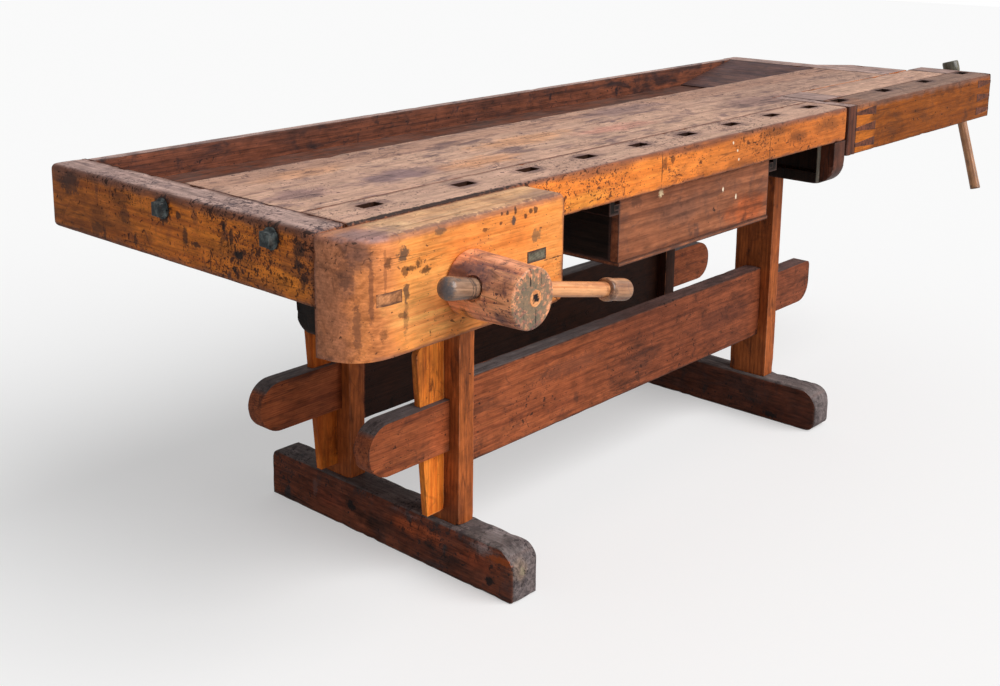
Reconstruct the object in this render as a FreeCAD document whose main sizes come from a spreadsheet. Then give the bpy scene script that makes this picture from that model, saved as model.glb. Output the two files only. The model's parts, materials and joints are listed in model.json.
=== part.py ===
import FreeCAD, Part
import math
import os
import sys
import Sketcher

# A joiner's bench on a knock-down trestle base, with a face vise on the left of the front
# and a sliding tail vise at the right end. Millimetres, +Z up, +X to the right, +Y to the back.
# Lengths are first measured from the bench's left end, the front of its slab and the floor;
# every placement then takes off the middle of the whole bench, so the origin is on the floor
# under the middle of its bounding box.

SIZES = {
    # bench top
    "benchHeight": 830, "benchDepth": 724, "benchRun": 2330,
    "slabThickness": 80, "slabDepth": 419, "slabFrontRun": 1655, "dogStripDepth": 110,
    "stripEndRadius": 12,
    "leftCapThickness": 70, "rightCapThickness": 65, "capHeight": 120, "capCornerRadius": 6,
    "leftCapOverhang": 16, "capSwell": 70, "swellRun": 165, "swellSlope": 80,
    "railThickness": 25, "trayThickness": 26, "rampRun": 262, "rampToe": 4,
    # slots for bench dogs
    "dogSlotRun": 45, "dogSlotDepth": 24, "dogLine": 69, "firstDogPlace": 178,
    "secondDogPlace": 399, "dogPitch": 170.3, "viseDogPlace": 1735, "viseDogPitch": 238,
    # bolts through the end caps
    "boltRadius": 5, "boltHoleClearance": 0.5, "boltReach": 100, "washerRadius": 18, "washerThickness": 3,
    "nutRadius": 17, "nutHeight": 12, "boltDrop": 27, "frontBoltPlace": 96, "rearBoltInset": 39,
    "rightBoltInset": 45, "rightBoltPitch": 90,
    # trestles
    "leftPostPlace": 524, "rightPostPlace": 1675, "postWidth": 43, "postDepth": 103,
    "frontPostPlace": 193, "rearPostPlace": 506, "postFoot": 104,
    "tenonShoulder": 10, "tenonLength": 60, "topTenonWidth": 20,
    "footWidth": 74, "footFront": 37, "footRun": 711, "footNoseRadius": 50, "footHeelRadius": 14,
    "leftSoleRadius": 8, "rightSoleRadius": 26,
    "pegRadius": 8, "pegLength": 60, "pegHeight": 66, "pegClearance": 0.05,
    "bearerWidth": 53, "bearerHeight": 120, "bearerFront": 20, "bearerRear": 690, "bearerNoseRadius": 45,
    "bearerStep": 44, "dowelRadius": 12, "dowelLength": 70, "frontDowelInset": 159, "rearDowelInset": 27,
    # stretchers and their wedges
    "stretcherThickness": 42.6, "stretcherInset": 26, "stretcherLow": 213, "stretcherDepth": 178,
    "throughTenonRise": 42, "throughTenonDepth": 105, "leftTenonReach": 214, "rightTenonReach": 210,
    "tenonCornerRadius": 12, "tenonHeelRadius": 50,
    "wedgeThickness": 15, "wedgeDrop": 128, "wedgeLength": 353, "wedgeFootWidth": 47, "wedgeTopWidth": 77.2,
    "wedgeCornerRadius": 22, "wedgeMortiseRelief": 2,
    # face vise
    "jawRun": 483, "jawThickness": 85, "jawDrop": 4, "jawDepth": 190, "jawEndRadius": 78,
    "jawCornerRadius": 14, "jawTopRadius": 12, "jawGap": 0.5, "slideClearance": 0.4,
    "viseAxisPlace": 243.5, "viseAxisDrop": 110, "threadRadius": 26, "threadReach": 300,
    "threadClearance": 0.06, "neckClearance": 1, "hubRearRadius": 55, "hubFrontRadius": 50,
    "hubLength": 134, "hubEdgeRadius": 5, "grooveDepth": 6, "garterThickness": 12, "garterWidth": 50,
    "garterPlace": 44,
    "guideSpacing": 337, "guideWidth": 48, "guideHeight": 20, "guideReach": 330, "guideRise": 9.5,
    "nutBlockEnd": 480, "nutBlockDepth": 127, "nutBlockHeight": 115, "nutBlockRadius": 32,
    "handlePlace": 54.5, "handleTilt": 12.45, "handleRadius": 13.2, "handleClearance": 0.4,
    "innerKnobPlace": 47, "innerKnobLength": 71, "innerKnobRadius": 19, "seatClearance": 1,
    "outerKnobPlace": 291.5, "outerKnobLength": 68, "outerKnobRadius": 21, "knobNeckInset": 2.5,
    "knobTipLength": 13, "knobTipEase": 4, "knobShoulder": 9, "knobNeckLength": 4, "knobSocket": 30,
    "socketClearance": 0.05,
    # tail vise
    "viseEnd": 2493, "viseDepth": 203, "viseHeight": 120, "jawOpening": 4, "linerThickness": 39,
    "frontBlockDepth": 91, "jawBlockRun": 100, "endBoardThickness": 86, "topPlateThickness": 30,
    "runnerPlace": 150, "runnerHeight": 55, "viseClearance": 1, "viseNotchClearance": 2,
    "pinPitch": 38, "pinRootHeight": 21, "pinTipHeight": 7,
    "guideRailDepth": 20, "guideRailHeight": 26, "guideRailRise": 50,
    "tailAxisPlace": 118, "tailAxisDrop": 65, "tailThreadRadius": 20, "tailThreadReach": 330,
    "tailHubRadius": 54, "tailHubNose": 51, "tailHubLength": 85, "tailGarterThickness": 10,
    "tailGarterWidth": 46, "tailGrooveDepth": 4, "tailHandlePlace": 52, "tailHandleLean": 16.4,
    "tailBarRadius": 12.8, "tailBarTipRadius": 14, "tailBarBelow": 289, "tailBarStraight": 200,
    "tailKnobRadius": 22.5, "tailKnobLength": 32, "tailKnobSeat": 53.8, "tailKnobSocket": 22,
    "tailKnobNeck": 20, "tailKnobShoulder": 4, "tailKnobTip": 2,
    # block that closes the slab's free end, beside the tail vise
    "endBlockWidth": 52, "endBlockFront": 3, "endBlockRear": 190, "endBlockHeight": 104, "endBlockRadius": 52,
    "housingDepth": 18, "housingFront": 47, "housingRise": 26,
    # drawer and its runners
    "drawerPlace": 785, "drawerWidth": 553, "drawerFront": 20, "drawerDepth": 420, "drawerDrop": 12,
    "drawerHeight": 125, "drawerFrontGap": 1.5, "drawerFrontThickness": 20,
    "drawerSideThickness": 14, "drawerBottomThickness": 7,
    "drawerLip": 2, "cleatWidth": 16, "cleatHeight": 12, "runnerLip": 8, "runnerWeb": 15, "runnerGap": 0.5,
}

PART_NODES = []
document = FreeCAD.newDocument("JoinersBench")
sheet = document.addObject("Spreadsheet::Sheet", "Dims")


class Size:
    """A length together with the sheet expression that yields it."""

    def __init__(self, number, text):
        self.number = float(number)
        self.text = text

    def __add__(self, other):
        other = as_size(other)
        return Size(self.number + other.number, f"({self.text} + {other.text})")

    def __sub__(self, other):
        other = as_size(other)
        return Size(self.number - other.number, f"({self.text} - {other.text})")

    def __mul__(self, other):
        other = as_size(other)
        return Size(self.number * other.number, f"({self.text} * {other.text})")

    def __truediv__(self, other):
        other = as_size(other)
        return Size(self.number / other.number, f"({self.text} / {other.text})")

    def __radd__(self, other):
        return as_size(other) + self

    def __rsub__(self, other):
        return as_size(other) - self


def as_size(value):
    return value if isinstance(value, Size) else Size(value, repr(float(value)))


def root(size):
    return Size(math.sqrt(size.number), f"sqrt({size.text})")


class Dimensions:
    """The sheet's named cells, read as Size values."""


def fill_sheet():
    dims = Dimensions()
    for row, (alias, number) in enumerate(SIZES.items(), start=1):
        sheet.set(f"A{row}", alias)
        sheet.set(f"B{row}", str(number))
        sheet.setAlias(f"B{row}", alias)
        setattr(dims, alias, Size(number, f"Dims.{alias}"))
    document.recompute()
    return dims


d = fill_sheet()

# Places that several pieces share.
slab_under = d.benchHeight - d.slabThickness
cap_under = d.benchHeight - d.capHeight
plank_end = d.benchRun - d.rightCapThickness
tray_front = d.slabDepth
tray_rear = d.benchDepth - d.railThickness
tray_floor = slab_under + d.trayThickness
vise_under = d.benchHeight - d.viseHeight
notch_rear = d.viseDepth + d.viseNotchClearance
liner_start = d.slabFrontRun + d.jawOpening
jaw_block_start = liner_start + d.linerThickness
jaw_block_end = jaw_block_start + d.jawBlockRun
end_board_start = d.viseEnd - d.endBoardThickness
plate_under = d.benchHeight - d.topPlateThickness
runner_low = plate_under - d.runnerHeight
bearer_low = slab_under - d.bearerHeight
bolt_height = d.benchHeight - d.boltDrop
rear_bolt = d.slabDepth - d.rearBoltInset
right_bolt = notch_rear + d.rightBoltInset
right_bolts = (right_bolt, right_bolt + d.rightBoltPitch)
swell_end = d.benchRun + d.capSwell
left_cap_depth = d.benchDepth + d.leftCapOverhang
front_dowel = d.slabDepth - d.frontDowelInset
rear_dowel = d.slabDepth - d.rearDowelInset
stretcher_high = d.stretcherLow + d.stretcherDepth
tenon_low = d.stretcherLow + d.throughTenonRise
tenon_high = tenon_low + d.throughTenonDepth
wedge_low = tenon_low - d.wedgeDrop
jaw_high = d.benchHeight - d.jawDrop
jaw_low = jaw_high - d.jawDepth
vise_axis = d.benchHeight - d.viseAxisDrop
nut_block_low = slab_under - d.nutBlockHeight
tail_axis = d.benchHeight - d.tailAxisDrop
guide_rail_low = vise_under + d.guideRailRise
end_block_low = slab_under - d.endBlockHeight
drawer_top = slab_under - d.drawerDrop
drawer_low = drawer_top - d.drawerHeight
jaw_face = d.jawGap + d.jawThickness
hub_end = jaw_face + d.jawGap + d.hubLength
tail_hub_start = d.viseEnd + d.jawGap
tail_hub_end = tail_hub_start + d.tailHubLength
nut_stand = d.washerThickness + d.nutHeight

# Middle of the bounding box, which the placements take off.
origin_x = (tail_hub_end - nut_stand) / 2
origin_y = (d.footFront + d.footRun - hub_end) / 2


def bind(item, prop, size):
    """Ties one property to the sheet."""
    item.setExpression(prop, as_size(size).text)


def place(item, corner, turn_axis=None, turn=None):
    """Puts an object at a corner given in the bench's working lengths, turned about one axis."""
    if turn_axis:
        item.Placement = FreeCAD.Placement(FreeCAD.Vector(), FreeCAD.Rotation(turn_axis, turn.number))
        bind(item, "Placement.Rotation.Angle", turn)
    bind(item, "Placement.Base.x", as_size(corner[0]) - origin_x)
    bind(item, "Placement.Base.y", as_size(corner[1]) - origin_y)
    bind(item, "Placement.Base.z", corner[2])


def node(item, label):
    item.Label = label
    PART_NODES.append(item)
    return item


def new_body(label, corner, turn_axis=None, turn=None):
    body = document.addObject("PartDesign::Body", label)
    place(body, corner, turn_axis, turn)
    return node(body, label)


def origin_feature(body, role):
    return next(item for item in body.Origin.OriginFeatures if item.Role == role)


def new_sketch(body, plane, lift=0):
    """A sketch on one of the body's own planes, lifted along that plane's normal."""
    sketch = body.newObject("Sketcher::SketchObject", "Sketch")
    sketch.AttachmentSupport = (origin_feature(body, plane), [""])
    sketch.MapMode = "FlatFace"
    bind(sketch, "AttachmentOffset.Base.z", lift)
    return sketch


def pin_point(sketch, element, end, point):
    """Holds a sketch point at two bound distances from the sketch's origin."""
    for kind, other_axis, size in (("DistanceX", -2, point[0]), ("DistanceY", -1, point[1])):
        size = as_size(size)
        if size.text == "0.0":
            sketch.addConstraint(Sketcher.Constraint("PointOnObject", element, end, other_axis))
            continue
        index = sketch.addConstraint(Sketcher.Constraint(kind, -1, 1, element, end, size.number))
        sketch.setExpression(f"Constraints[{index}]", size.text)


def vector(point):
    return FreeCAD.Vector(as_size(point[0]).number, as_size(point[1]).number, 0)


def arc_centre(start, end, centre_x):
    """The centre of the arc between two points, from its place along X."""
    near = (start.x - centre_x) ** 2 + start.y ** 2
    far = (end.x - centre_x) ** 2 + end.y ** 2
    return FreeCAD.Vector(centre_x, (far - near) / (2 * (end.y - start.y)), 0)


def draw_outline(sketch, points, arcs=()):
    """A closed outline, counter-clockwise; arcs maps a side's number to its centre's place along X."""
    arcs = dict(arcs)
    first = sketch.GeometryCount
    count = len(points)
    for side in range(count):
        start = vector(points[side])
        end = vector(points[(side + 1) % count])
        if side not in arcs:
            sketch.addGeometry(Part.LineSegment(start, end), False)
            continue
        middle = arc_centre(start, end, as_size(arcs[side]).number)
        circle = Part.Circle(middle, FreeCAD.Vector(0, 0, 1), (start - middle).Length)
        turn = circle.parameter(start), circle.parameter(end)
        sketch.addGeometry(Part.ArcOfCircle(circle, *turn), False)
    for side in range(count):
        following = first + (side + 1) % count
        sketch.addConstraint(Sketcher.Constraint("Coincident", first + side, 2, following, 1))
    for side in range(count):
        pin_point(sketch, first + side, 1, points[side])
    for side, centre in arcs.items():
        size = as_size(centre)
        index = sketch.addConstraint(Sketcher.Constraint("DistanceX", -1, 1, first + side, 3, size.number))
        sketch.setExpression(f"Constraints[{index}]", size.text)


def draw_circle(sketch, centre, radius):
    radius = as_size(radius)
    element = sketch.addGeometry(Part.Circle(vector(centre), FreeCAD.Vector(0, 0, 1), radius.number), False)
    pin_point(sketch, element, 3, centre)
    index = sketch.addConstraint(Sketcher.Constraint("Radius", element, radius.number))
    sketch.setExpression(f"Constraints[{index}]", radius.text)


def rectangle(low_u, low_v, high_u, high_v):
    return [(low_u, low_v), (high_u, low_v), (high_u, high_v), (low_u, high_v)]


def pad(body, sketch, length):
    """Thickens a sketch towards +X, +Y or +Z, whichever its plane faces."""
    feature = body.newObject("PartDesign::Pad", "Pad")
    feature.Profile = sketch
    # the XZ plane's own normal is -Y
    feature.Reversed = sketch.AttachmentSupport[0][0].Role == "XZ_Plane"
    bind(feature, "Length", length)
    document.recompute()
    return feature


def pocket(body, sketch, depth=None):
    """Cuts a sketch right through, or to half of depth on each side of its plane."""
    before = body.Shape.Volume
    feature = body.newObject("PartDesign::Pocket", "Pocket")
    feature.Profile = sketch
    feature.SideType = "Symmetric"
    if depth is None:
        feature.Type = "ThroughAll"
    else:
        bind(feature, "Length", depth)
    document.recompute()
    if body.Shape.Volume >= before:
        sys.exit(f"a pocket of {body.Label} cuts nothing")
    return feature


def repeat(body, feature, pitch, count):
    """Repeats a feature along the body's X axis."""
    pattern = body.newObject("PartDesign::LinearPattern", "Pattern")
    pattern.Originals = [feature]
    pattern.Direction = (origin_feature(body, "X_Axis"), [""])
    pattern.Mode = "Spacing"
    pattern.Occurrences = count
    bind(pattern, "Offset", pitch)
    body.Tip = pattern
    document.recompute()
    return pattern


def round_edges(body, radius, chosen):
    """Rounds the edges of the body's last feature that the chosen test picks."""
    base = body.Tip
    picked = []
    for number, edge in enumerate(base.Shape.Edges, start=1):
        if chosen(edge):
            picked.append(f"Edge{number}")
    fillet = body.newObject("PartDesign::Fillet", "Fillet")
    fillet.Base = (base, picked)
    bind(fillet, "Radius", radius)
    document.recompute()
    return fillet


def edge_at(axis, place_one, place_two):
    """Test for straight edges along axis (0, 1 or 2) that stand at two given local places."""
    others = [index for index in (0, 1, 2) if index != axis]
    wanted = (as_size(place_one).number, as_size(place_two).number)

    def test(edge):
        ends = [vertex.Point for vertex in edge.Vertexes]
        if len(ends) != 2 or not isinstance(edge.Curve, Part.Line):
            return False
        return all(
            abs(point[index] - size) < 1e-4
            for point in ends
            for index, size in zip(others, wanted)
        )

    return test


def board(label, corner, size):
    """A plain sawn board: its plan as a sketch, padded to its height."""
    body = new_body(label, corner)
    sketch = new_sketch(body, "XY_Plane")
    draw_outline(sketch, rectangle(0, 0, size[0], size[1]))
    pad(body, sketch, size[2])
    return body


def cut_rectangle(body, plane, low, high, lift=0, depth=None):
    sketch = new_sketch(body, plane, lift)
    draw_outline(sketch, rectangle(low[0], low[1], high[0], high[1]))
    return pocket(body, sketch, depth)


def bore(body, plane, centre, radius, lift=0, depth=None):
    sketch = new_sketch(body, plane, lift)
    draw_circle(sketch, centre, radius)
    return pocket(body, sketch, depth)


def turn_profile(body, points, axis):
    """Turns a half profile of the XY plane about the body's X or Y axis."""
    sketch = new_sketch(body, "XY_Plane")
    draw_outline(sketch, points)
    revolution = body.newObject("PartDesign::Revolution", "Revolution")
    revolution.Profile = sketch
    revolution.ReferenceAxis = (sketch, ["H_Axis" if axis == "X" else "V_Axis"])
    revolution.Angle = 360
    document.recompute()
    return revolution


def cut_dog_slot(body, place_x):
    """One slot for a bench dog, its middle place_x from the body's own left end."""
    half_run = d.dogSlotRun / 2
    half_depth = d.dogSlotDepth / 2
    low = (place_x - half_run, d.dogLine - half_depth)
    high = (place_x + half_run, d.dogLine + half_depth)
    return cut_rectangle(body, "XY_Plane", low, high)


# ---- bench top ----

def make_dog_strip():
    """The thick front strip of the slab, with a row of square slots."""
    start = d.leftCapThickness
    size = (d.slabFrontRun - start, d.dogStripDepth, d.slabThickness)
    body = board("dog_strip", (start, 0, slab_under), size)
    round_edges(body, d.stripEndRadius, edge_at(2, d.slabFrontRun - start, 0))
    cut_dog_slot(body, d.firstDogPlace - start)
    slot = cut_dog_slot(body, d.secondDogPlace - start)
    repeat(body, slot, d.dogPitch, 8)
    bolt_hole(body, d.frontBoltPlace, bolt_height - slab_under, 0)


def bolt_hole(body, place_y, place_z, lift):
    """A blind hole along X for a cap bolt, as deep as the bolt reaches."""
    radius = d.boltRadius + d.boltHoleClearance
    bore(body, "YZ_Plane", (place_y, place_z), radius, lift, (d.boltReach + d.boltHoleClearance) * 2)


def make_top_plank():
    """The slab behind the dog strip; its right part is narrower to leave the tail vise's room."""
    start = d.leftCapThickness
    front = d.dogStripDepth
    body = new_body("top_plank", (start, front, slab_under))
    sketch = new_sketch(body, "XY_Plane")
    run = plank_end - start
    notch_start = d.slabFrontRun - start
    notch = notch_rear - front
    depth = d.slabDepth - front
    points = [(0, 0), (notch_start, 0), (notch_start, notch), (run, notch), (run, depth), (0, depth)]
    draw_outline(sketch, points)
    pad(body, sketch, d.slabThickness)
    bolt_hole(body, rear_bolt - front, bolt_height - slab_under, 0)
    for place_y in right_bolts:
        bolt_hole(body, place_y - front, bolt_height - slab_under, run)
    for post_x in (d.leftPostPlace, d.rightPostPlace):
        for place_y in (front_dowel, rear_dowel):
            centre = (post_x + d.postWidth / 2 - start, place_y - front)
            depth = d.dowelLength + d.pegClearance * 2
            bore(body, "XY_Plane", centre, d.dowelRadius + d.pegClearance, 0, depth)


def make_tray():
    start = d.leftCapThickness
    run = plank_end - start
    depth = tray_rear - tray_front
    board("tray_bottom", (start, tray_front, slab_under), (run, depth, d.trayThickness))
    board("rear_rail", (start, tray_rear, slab_under), (run, d.railThickness, d.slabThickness))
    ramp = new_body("tray_ramp", (plank_end - d.rampRun, tray_front, tray_floor))
    sketch = new_sketch(ramp, "XZ_Plane")
    rise = d.benchHeight - tray_floor
    draw_outline(sketch, [(0, 0), (d.rampRun, 0), (d.rampRun, rise), (0, d.rampToe)])
    pad(ramp, sketch, depth)


def make_left_cap():
    """The left end cap, rebated inside so that a guide bar of the face vise can pass."""
    body = board("left_end_cap", (0, 0, cap_under), (d.leftCapThickness, left_cap_depth, d.capHeight))
    bar_left = guide_bar_left(0) - d.slideClearance
    bar_top = guide_low() + d.guideHeight + d.slideClearance - cap_under
    depth = (d.guideReach + d.slideClearance) * 2
    cut_rectangle(body, "XZ_Plane", (bar_left, 0), (d.leftCapThickness, bar_top), 0, depth)
    for place_y in (d.frontBoltPlace, rear_bolt):
        centre = (place_y, bolt_height - cap_under)
        bore(body, "YZ_Plane", centre, d.boltRadius + d.boltHoleClearance)
    round_edges(body, d.capCornerRadius, edge_at(2, 0, left_cap_depth))


def make_right_cap():
    """The right end cap: thicker behind the tail vise, with an arm that holds the vise's nut."""
    body = new_body("right_end_cap", (plank_end, 0, cap_under))
    sketch = new_sketch(body, "YZ_Plane")
    nut_front = d.frontBlockDepth + d.viseClearance
    nut_rear = d.runnerPlace - d.viseClearance
    nut_top = plate_under - d.viseClearance - cap_under
    arm_top = runner_low - d.viseClearance - cap_under
    points = [
        (nut_front, 0), (d.benchDepth, 0), (d.benchDepth, d.capHeight), (notch_rear, d.capHeight),
        (notch_rear, arm_top), (nut_rear, arm_top), (nut_rear, nut_top), (nut_front, nut_top),
    ]
    draw_outline(sketch, points)
    pad(body, sketch, d.rightCapThickness)
    swell = new_sketch(body, "XY_Plane")
    face = d.rightCapThickness
    rear = notch_rear + d.swellRun
    outer = face + d.capSwell
    points = [(face, notch_rear), (outer, notch_rear), (outer, rear), (face, rear + d.swellSlope)]
    draw_outline(swell, points)
    pad(body, swell, d.capHeight)
    axis = (d.tailAxisPlace, tail_axis - cap_under)
    bore(body, "YZ_Plane", axis, d.tailThreadRadius + d.threadClearance)
    for place_y in right_bolts:
        centre = (place_y, bolt_height - cap_under)
        bore(body, "YZ_Plane", centre, d.boltRadius + d.boltHoleClearance)
    round_edges(body, d.capCornerRadius, edge_at(2, d.rightCapThickness, d.benchDepth))


def make_bolts(label, face_x, sign, places, cap_thickness):
    """Bolts through an end cap: a long shank, a washer and a square nut, all along X."""
    bolts = []
    turn = FreeCAD.Rotation(FreeCAD.Vector(0, 1, 0), 90 * sign)
    flats_upright = FreeCAD.Rotation(FreeCAD.Vector(0, 0, 1), 45)
    for place_y in places:
        shank = document.addObject("Part::Cylinder", "Shank")
        bind(shank, "Radius", d.boltRadius)
        bind(shank, "Height", cap_thickness + d.boltReach + nut_stand)
        bind(shank, "Placement.Base.z", 0 - nut_stand)
        washer = document.addObject("Part::Cylinder", "Washer")
        bind(washer, "Radius", d.washerRadius)
        bind(washer, "Height", d.washerThickness)
        bind(washer, "Placement.Base.z", 0 - d.washerThickness)
        nut = document.addObject("Part::Prism", "Nut")
        nut.Polygon = 4
        bind(nut, "Circumradius", d.nutRadius)
        bind(nut, "Height", d.nutHeight)
        nut.Placement = FreeCAD.Placement(FreeCAD.Vector(), flats_upright)
        bind(nut, "Placement.Base.z", 0 - nut_stand)
        bolt = document.addObject("Part::MultiFuse", "Bolt")
        bolt.Shapes = [shank, washer, nut]
        bolt.Placement = FreeCAD.Placement(FreeCAD.Vector(), turn)
        place(bolt, (face_x, place_y, bolt_height))
        bolts.append(bolt)
    group = document.addObject("Part::Compound", label)
    group.Links = bolts
    node(group, label)


# ---- trestles ----

def make_foot(label, post_x, sole_radius):
    """A sledge foot with a rounded toe; both posts are mortised into it and pegged from the right."""
    start_x = post_x + (d.postWidth - d.footWidth) / 2
    body = new_body(label, (start_x, d.footFront, 0))
    sketch = new_sketch(body, "YZ_Plane")
    draw_outline(sketch, rectangle(0, 0, d.footRun, d.postFoot))
    pad(body, sketch, d.footWidth)
    wall = (d.footWidth - d.postWidth) / 2
    for place_y in (d.frontPostPlace, d.rearPostPlace):
        front = place_y - d.footFront
        low = (wall, front + d.tenonShoulder)
        high = (wall + d.postWidth, front + d.postDepth - d.tenonShoulder)
        cut_rectangle(body, "XY_Plane", low, high, d.postFoot, d.tenonLength * 2)
        depth = (d.pegLength + d.pegClearance) * 2
        peg_hole(body, front + d.postDepth / 2, d.pegHeight, d.footWidth, depth)
    round_edges(body, d.footNoseRadius, edge_at(0, 0, d.postFoot))
    round_edges(body, sole_radius, edge_at(0, 0, 0))
    round_edges(body, d.footHeelRadius, edge_at(0, d.footRun, d.postFoot))


def peg_hole(body, place_y, place_z, lift=0, depth=None):
    bore(body, "YZ_Plane", (place_y, place_z), d.pegRadius + d.pegClearance, lift, depth)


def make_post(label, post_x, post_y):
    """A flat post: tenons at both ends and a mortise for the stretcher."""
    low_z = d.postFoot - d.tenonLength
    body = new_body(label, (post_x, post_y, low_z))
    sketch = new_sketch(body, "YZ_Plane")
    top = bearer_low - low_z
    shoulder = d.tenonShoulder
    points = [
        (shoulder, 0), (d.postDepth - shoulder, 0), (d.postDepth - shoulder, d.tenonLength),
        (d.postDepth, d.tenonLength), (d.postDepth, top), (0, top), (0, d.tenonLength),
        (shoulder, d.tenonLength),
    ]
    draw_outline(sketch, points)
    pad(body, sketch, d.postWidth)
    side = (d.postWidth - d.topTenonWidth) / 2
    tenon = new_sketch(body, "XY_Plane", top)
    draw_outline(tenon, rectangle(side, shoulder, side + d.topTenonWidth, d.postDepth - shoulder))
    pad(body, tenon, d.tenonLength)
    low = (d.stretcherInset, tenon_low - low_z)
    high = (d.stretcherInset + d.stretcherThickness, tenon_high - low_z)
    cut_rectangle(body, "YZ_Plane", low, high)
    peg_hole(body, d.postDepth / 2, d.pegHeight - low_z)


def make_bearer(label, post_x, points):
    """A bearer across the top of a trestle, from the (Y, Z) outline given."""
    start_x = post_x + (d.postWidth - d.bearerWidth) / 2
    body = new_body(label, (start_x, 0, bearer_low))
    sketch = new_sketch(body, "YZ_Plane")
    draw_outline(sketch, points)
    pad(body, sketch, d.bearerWidth)
    side = (d.bearerWidth - d.topTenonWidth) / 2
    for place_y in (d.frontPostPlace, d.rearPostPlace):
        low = (side, place_y + d.tenonShoulder)
        high = (side + d.topTenonWidth, place_y + d.postDepth - d.tenonShoulder)
        cut_rectangle(body, "XY_Plane", low, high, 0, d.tenonLength * 2)
    for place_y in (front_dowel, rear_dowel):
        centre = (d.bearerWidth / 2, place_y)
        depth = d.dowelLength + d.pegClearance * 2
        bore(body, "XY_Plane", centre, d.dowelRadius + d.pegClearance, d.bearerHeight, depth)
    return body


def make_bearers():
    left = make_bearer(
        "left_bearer", d.leftPostPlace, rectangle(d.bearerFront, 0, d.bearerRear, d.bearerHeight)
    )
    round_edges(left, d.bearerNoseRadius, edge_at(0, d.bearerFront, 0))
    round_edges(left, d.bearerNoseRadius, edge_at(0, d.bearerRear, 0))
    # the right one is stepped down in front, where the tail vise passes over it
    step_rear = notch_rear + d.viseClearance
    step_top = d.bearerHeight - d.bearerStep
    points = [
        (d.frontPostPlace, 0), (d.bearerRear, 0), (d.bearerRear, d.bearerHeight),
        (step_rear, d.bearerHeight), (step_rear, step_top), (d.frontPostPlace, step_top),
    ]
    right = make_bearer("right_bearer", d.rightPostPlace, points)
    round_edges(right, d.bearerNoseRadius, edge_at(0, d.bearerRear, 0))


def make_dowels():
    """Dowels between the bearers and the slab, which keep the top from sliding off the base."""
    pins = []
    for post_x in (d.leftPostPlace, d.rightPostPlace):
        for place_y in (front_dowel, rear_dowel):
            pin = document.addObject("Part::Cylinder", "Dowel")
            bind(pin, "Radius", d.dowelRadius)
            bind(pin, "Height", d.dowelLength)
            place(pin, (post_x + d.postWidth / 2, place_y, slab_under - d.dowelLength / 2))
            pins.append(pin)
    group = document.addObject("Part::Compound", "top_dowels")
    group.Links = pins
    node(group, "top_dowels")


def make_pegs():
    """Pegs through the post tenons, flush with the right side of each foot and blind on its left."""
    pins = []
    for post_x in (d.leftPostPlace, d.rightPostPlace):
        for place_y in (d.frontPostPlace, d.rearPostPlace):
            pin = document.addObject("Part::Cylinder", "Peg")
            bind(pin, "Radius", d.pegRadius)
            bind(pin, "Height", d.pegLength)
            pin.Placement = FreeCAD.Placement(
                FreeCAD.Vector(), FreeCAD.Rotation(FreeCAD.Vector(0, 1, 0), 90)
            )
            start_x = post_x + (d.postWidth + d.footWidth) / 2 - d.pegLength
            place(pin, (start_x, place_y + d.postDepth / 2, d.pegHeight))
            pins.append(pin)
    group = document.addObject("Part::Compound", "foot_pegs")
    group.Links = pins
    node(group, "foot_pegs")


def wedge_outline(low_z, high_z, inner_x):
    """A tusk wedge's side: upright against the post, tapered on its outer side."""
    taper = (d.wedgeTopWidth - d.wedgeFootWidth) / d.wedgeLength
    foot_width = d.wedgeFootWidth + (low_z - wedge_low) * taper
    top_width = d.wedgeFootWidth + (high_z - wedge_low) * taper
    post_x = d.leftPostPlace
    return [(post_x - foot_width, low_z), (inner_x, low_z), (inner_x, high_z), (post_x - top_width, high_z)]


def make_stretcher(label, wedge_label, post_y, square_end):
    """A stretcher with long through tenons, round-nosed or squarer at the right, and its tusk wedge."""
    start_y = post_y + d.stretcherInset
    body = new_body(label, (0, start_y, 0))
    sketch = new_sketch(body, "XZ_Plane")
    nose = (tenon_high - tenon_low) / 2
    left_centre = d.leftPostPlace - d.leftTenonReach + nose
    right_end = d.rightPostPlace + d.postWidth + d.rightTenonReach
    right_centre = right_end if square_end else right_end - nose
    left_face = d.leftPostPlace + d.postWidth
    right_face = d.rightPostPlace
    points = [
        (left_centre, tenon_low), (left_face, tenon_low), (left_face, d.stretcherLow),
        (right_face, d.stretcherLow), (right_face, tenon_low), (right_centre, tenon_low),
        (right_centre, tenon_high), (right_face, tenon_high), (right_face, stretcher_high),
        (left_face, stretcher_high), (left_face, tenon_high), (left_centre, tenon_high),
    ]
    arcs = {11: left_centre} if square_end else {5: right_centre, 11: left_centre}
    draw_outline(sketch, points, arcs)
    pad(body, sketch, d.stretcherThickness)
    if square_end:
        round_edges(body, d.tenonCornerRadius, edge_at(1, right_end, tenon_high))
        round_edges(body, d.tenonHeelRadius, edge_at(1, right_end, tenon_low))
    mortise = new_sketch(body, "XZ_Plane", 0 - d.stretcherThickness / 2)
    inner_x = d.leftPostPlace + d.wedgeMortiseRelief
    draw_outline(mortise, wedge_outline(tenon_low, tenon_high, inner_x))
    pocket(body, mortise, d.wedgeThickness)
    wedge = new_body(wedge_label, (0, start_y + (d.stretcherThickness - d.wedgeThickness) / 2, 0))
    side = new_sketch(wedge, "XZ_Plane")
    outline = wedge_outline(wedge_low, wedge_low + d.wedgeLength, d.leftPostPlace)
    draw_outline(side, outline)
    pad(wedge, side, d.wedgeThickness)
    round_edges(wedge, d.wedgeCornerRadius, edge_at(1, outline[3][0], wedge_low + d.wedgeLength))


# ---- face vise ----

def guide_bar_left(number):
    """Left side of guide bar 0 or 1; the two lie evenly about the screw."""
    middle = d.viseAxisPlace + d.guideSpacing * (number - 0.5)
    return middle - d.guideWidth / 2


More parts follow.
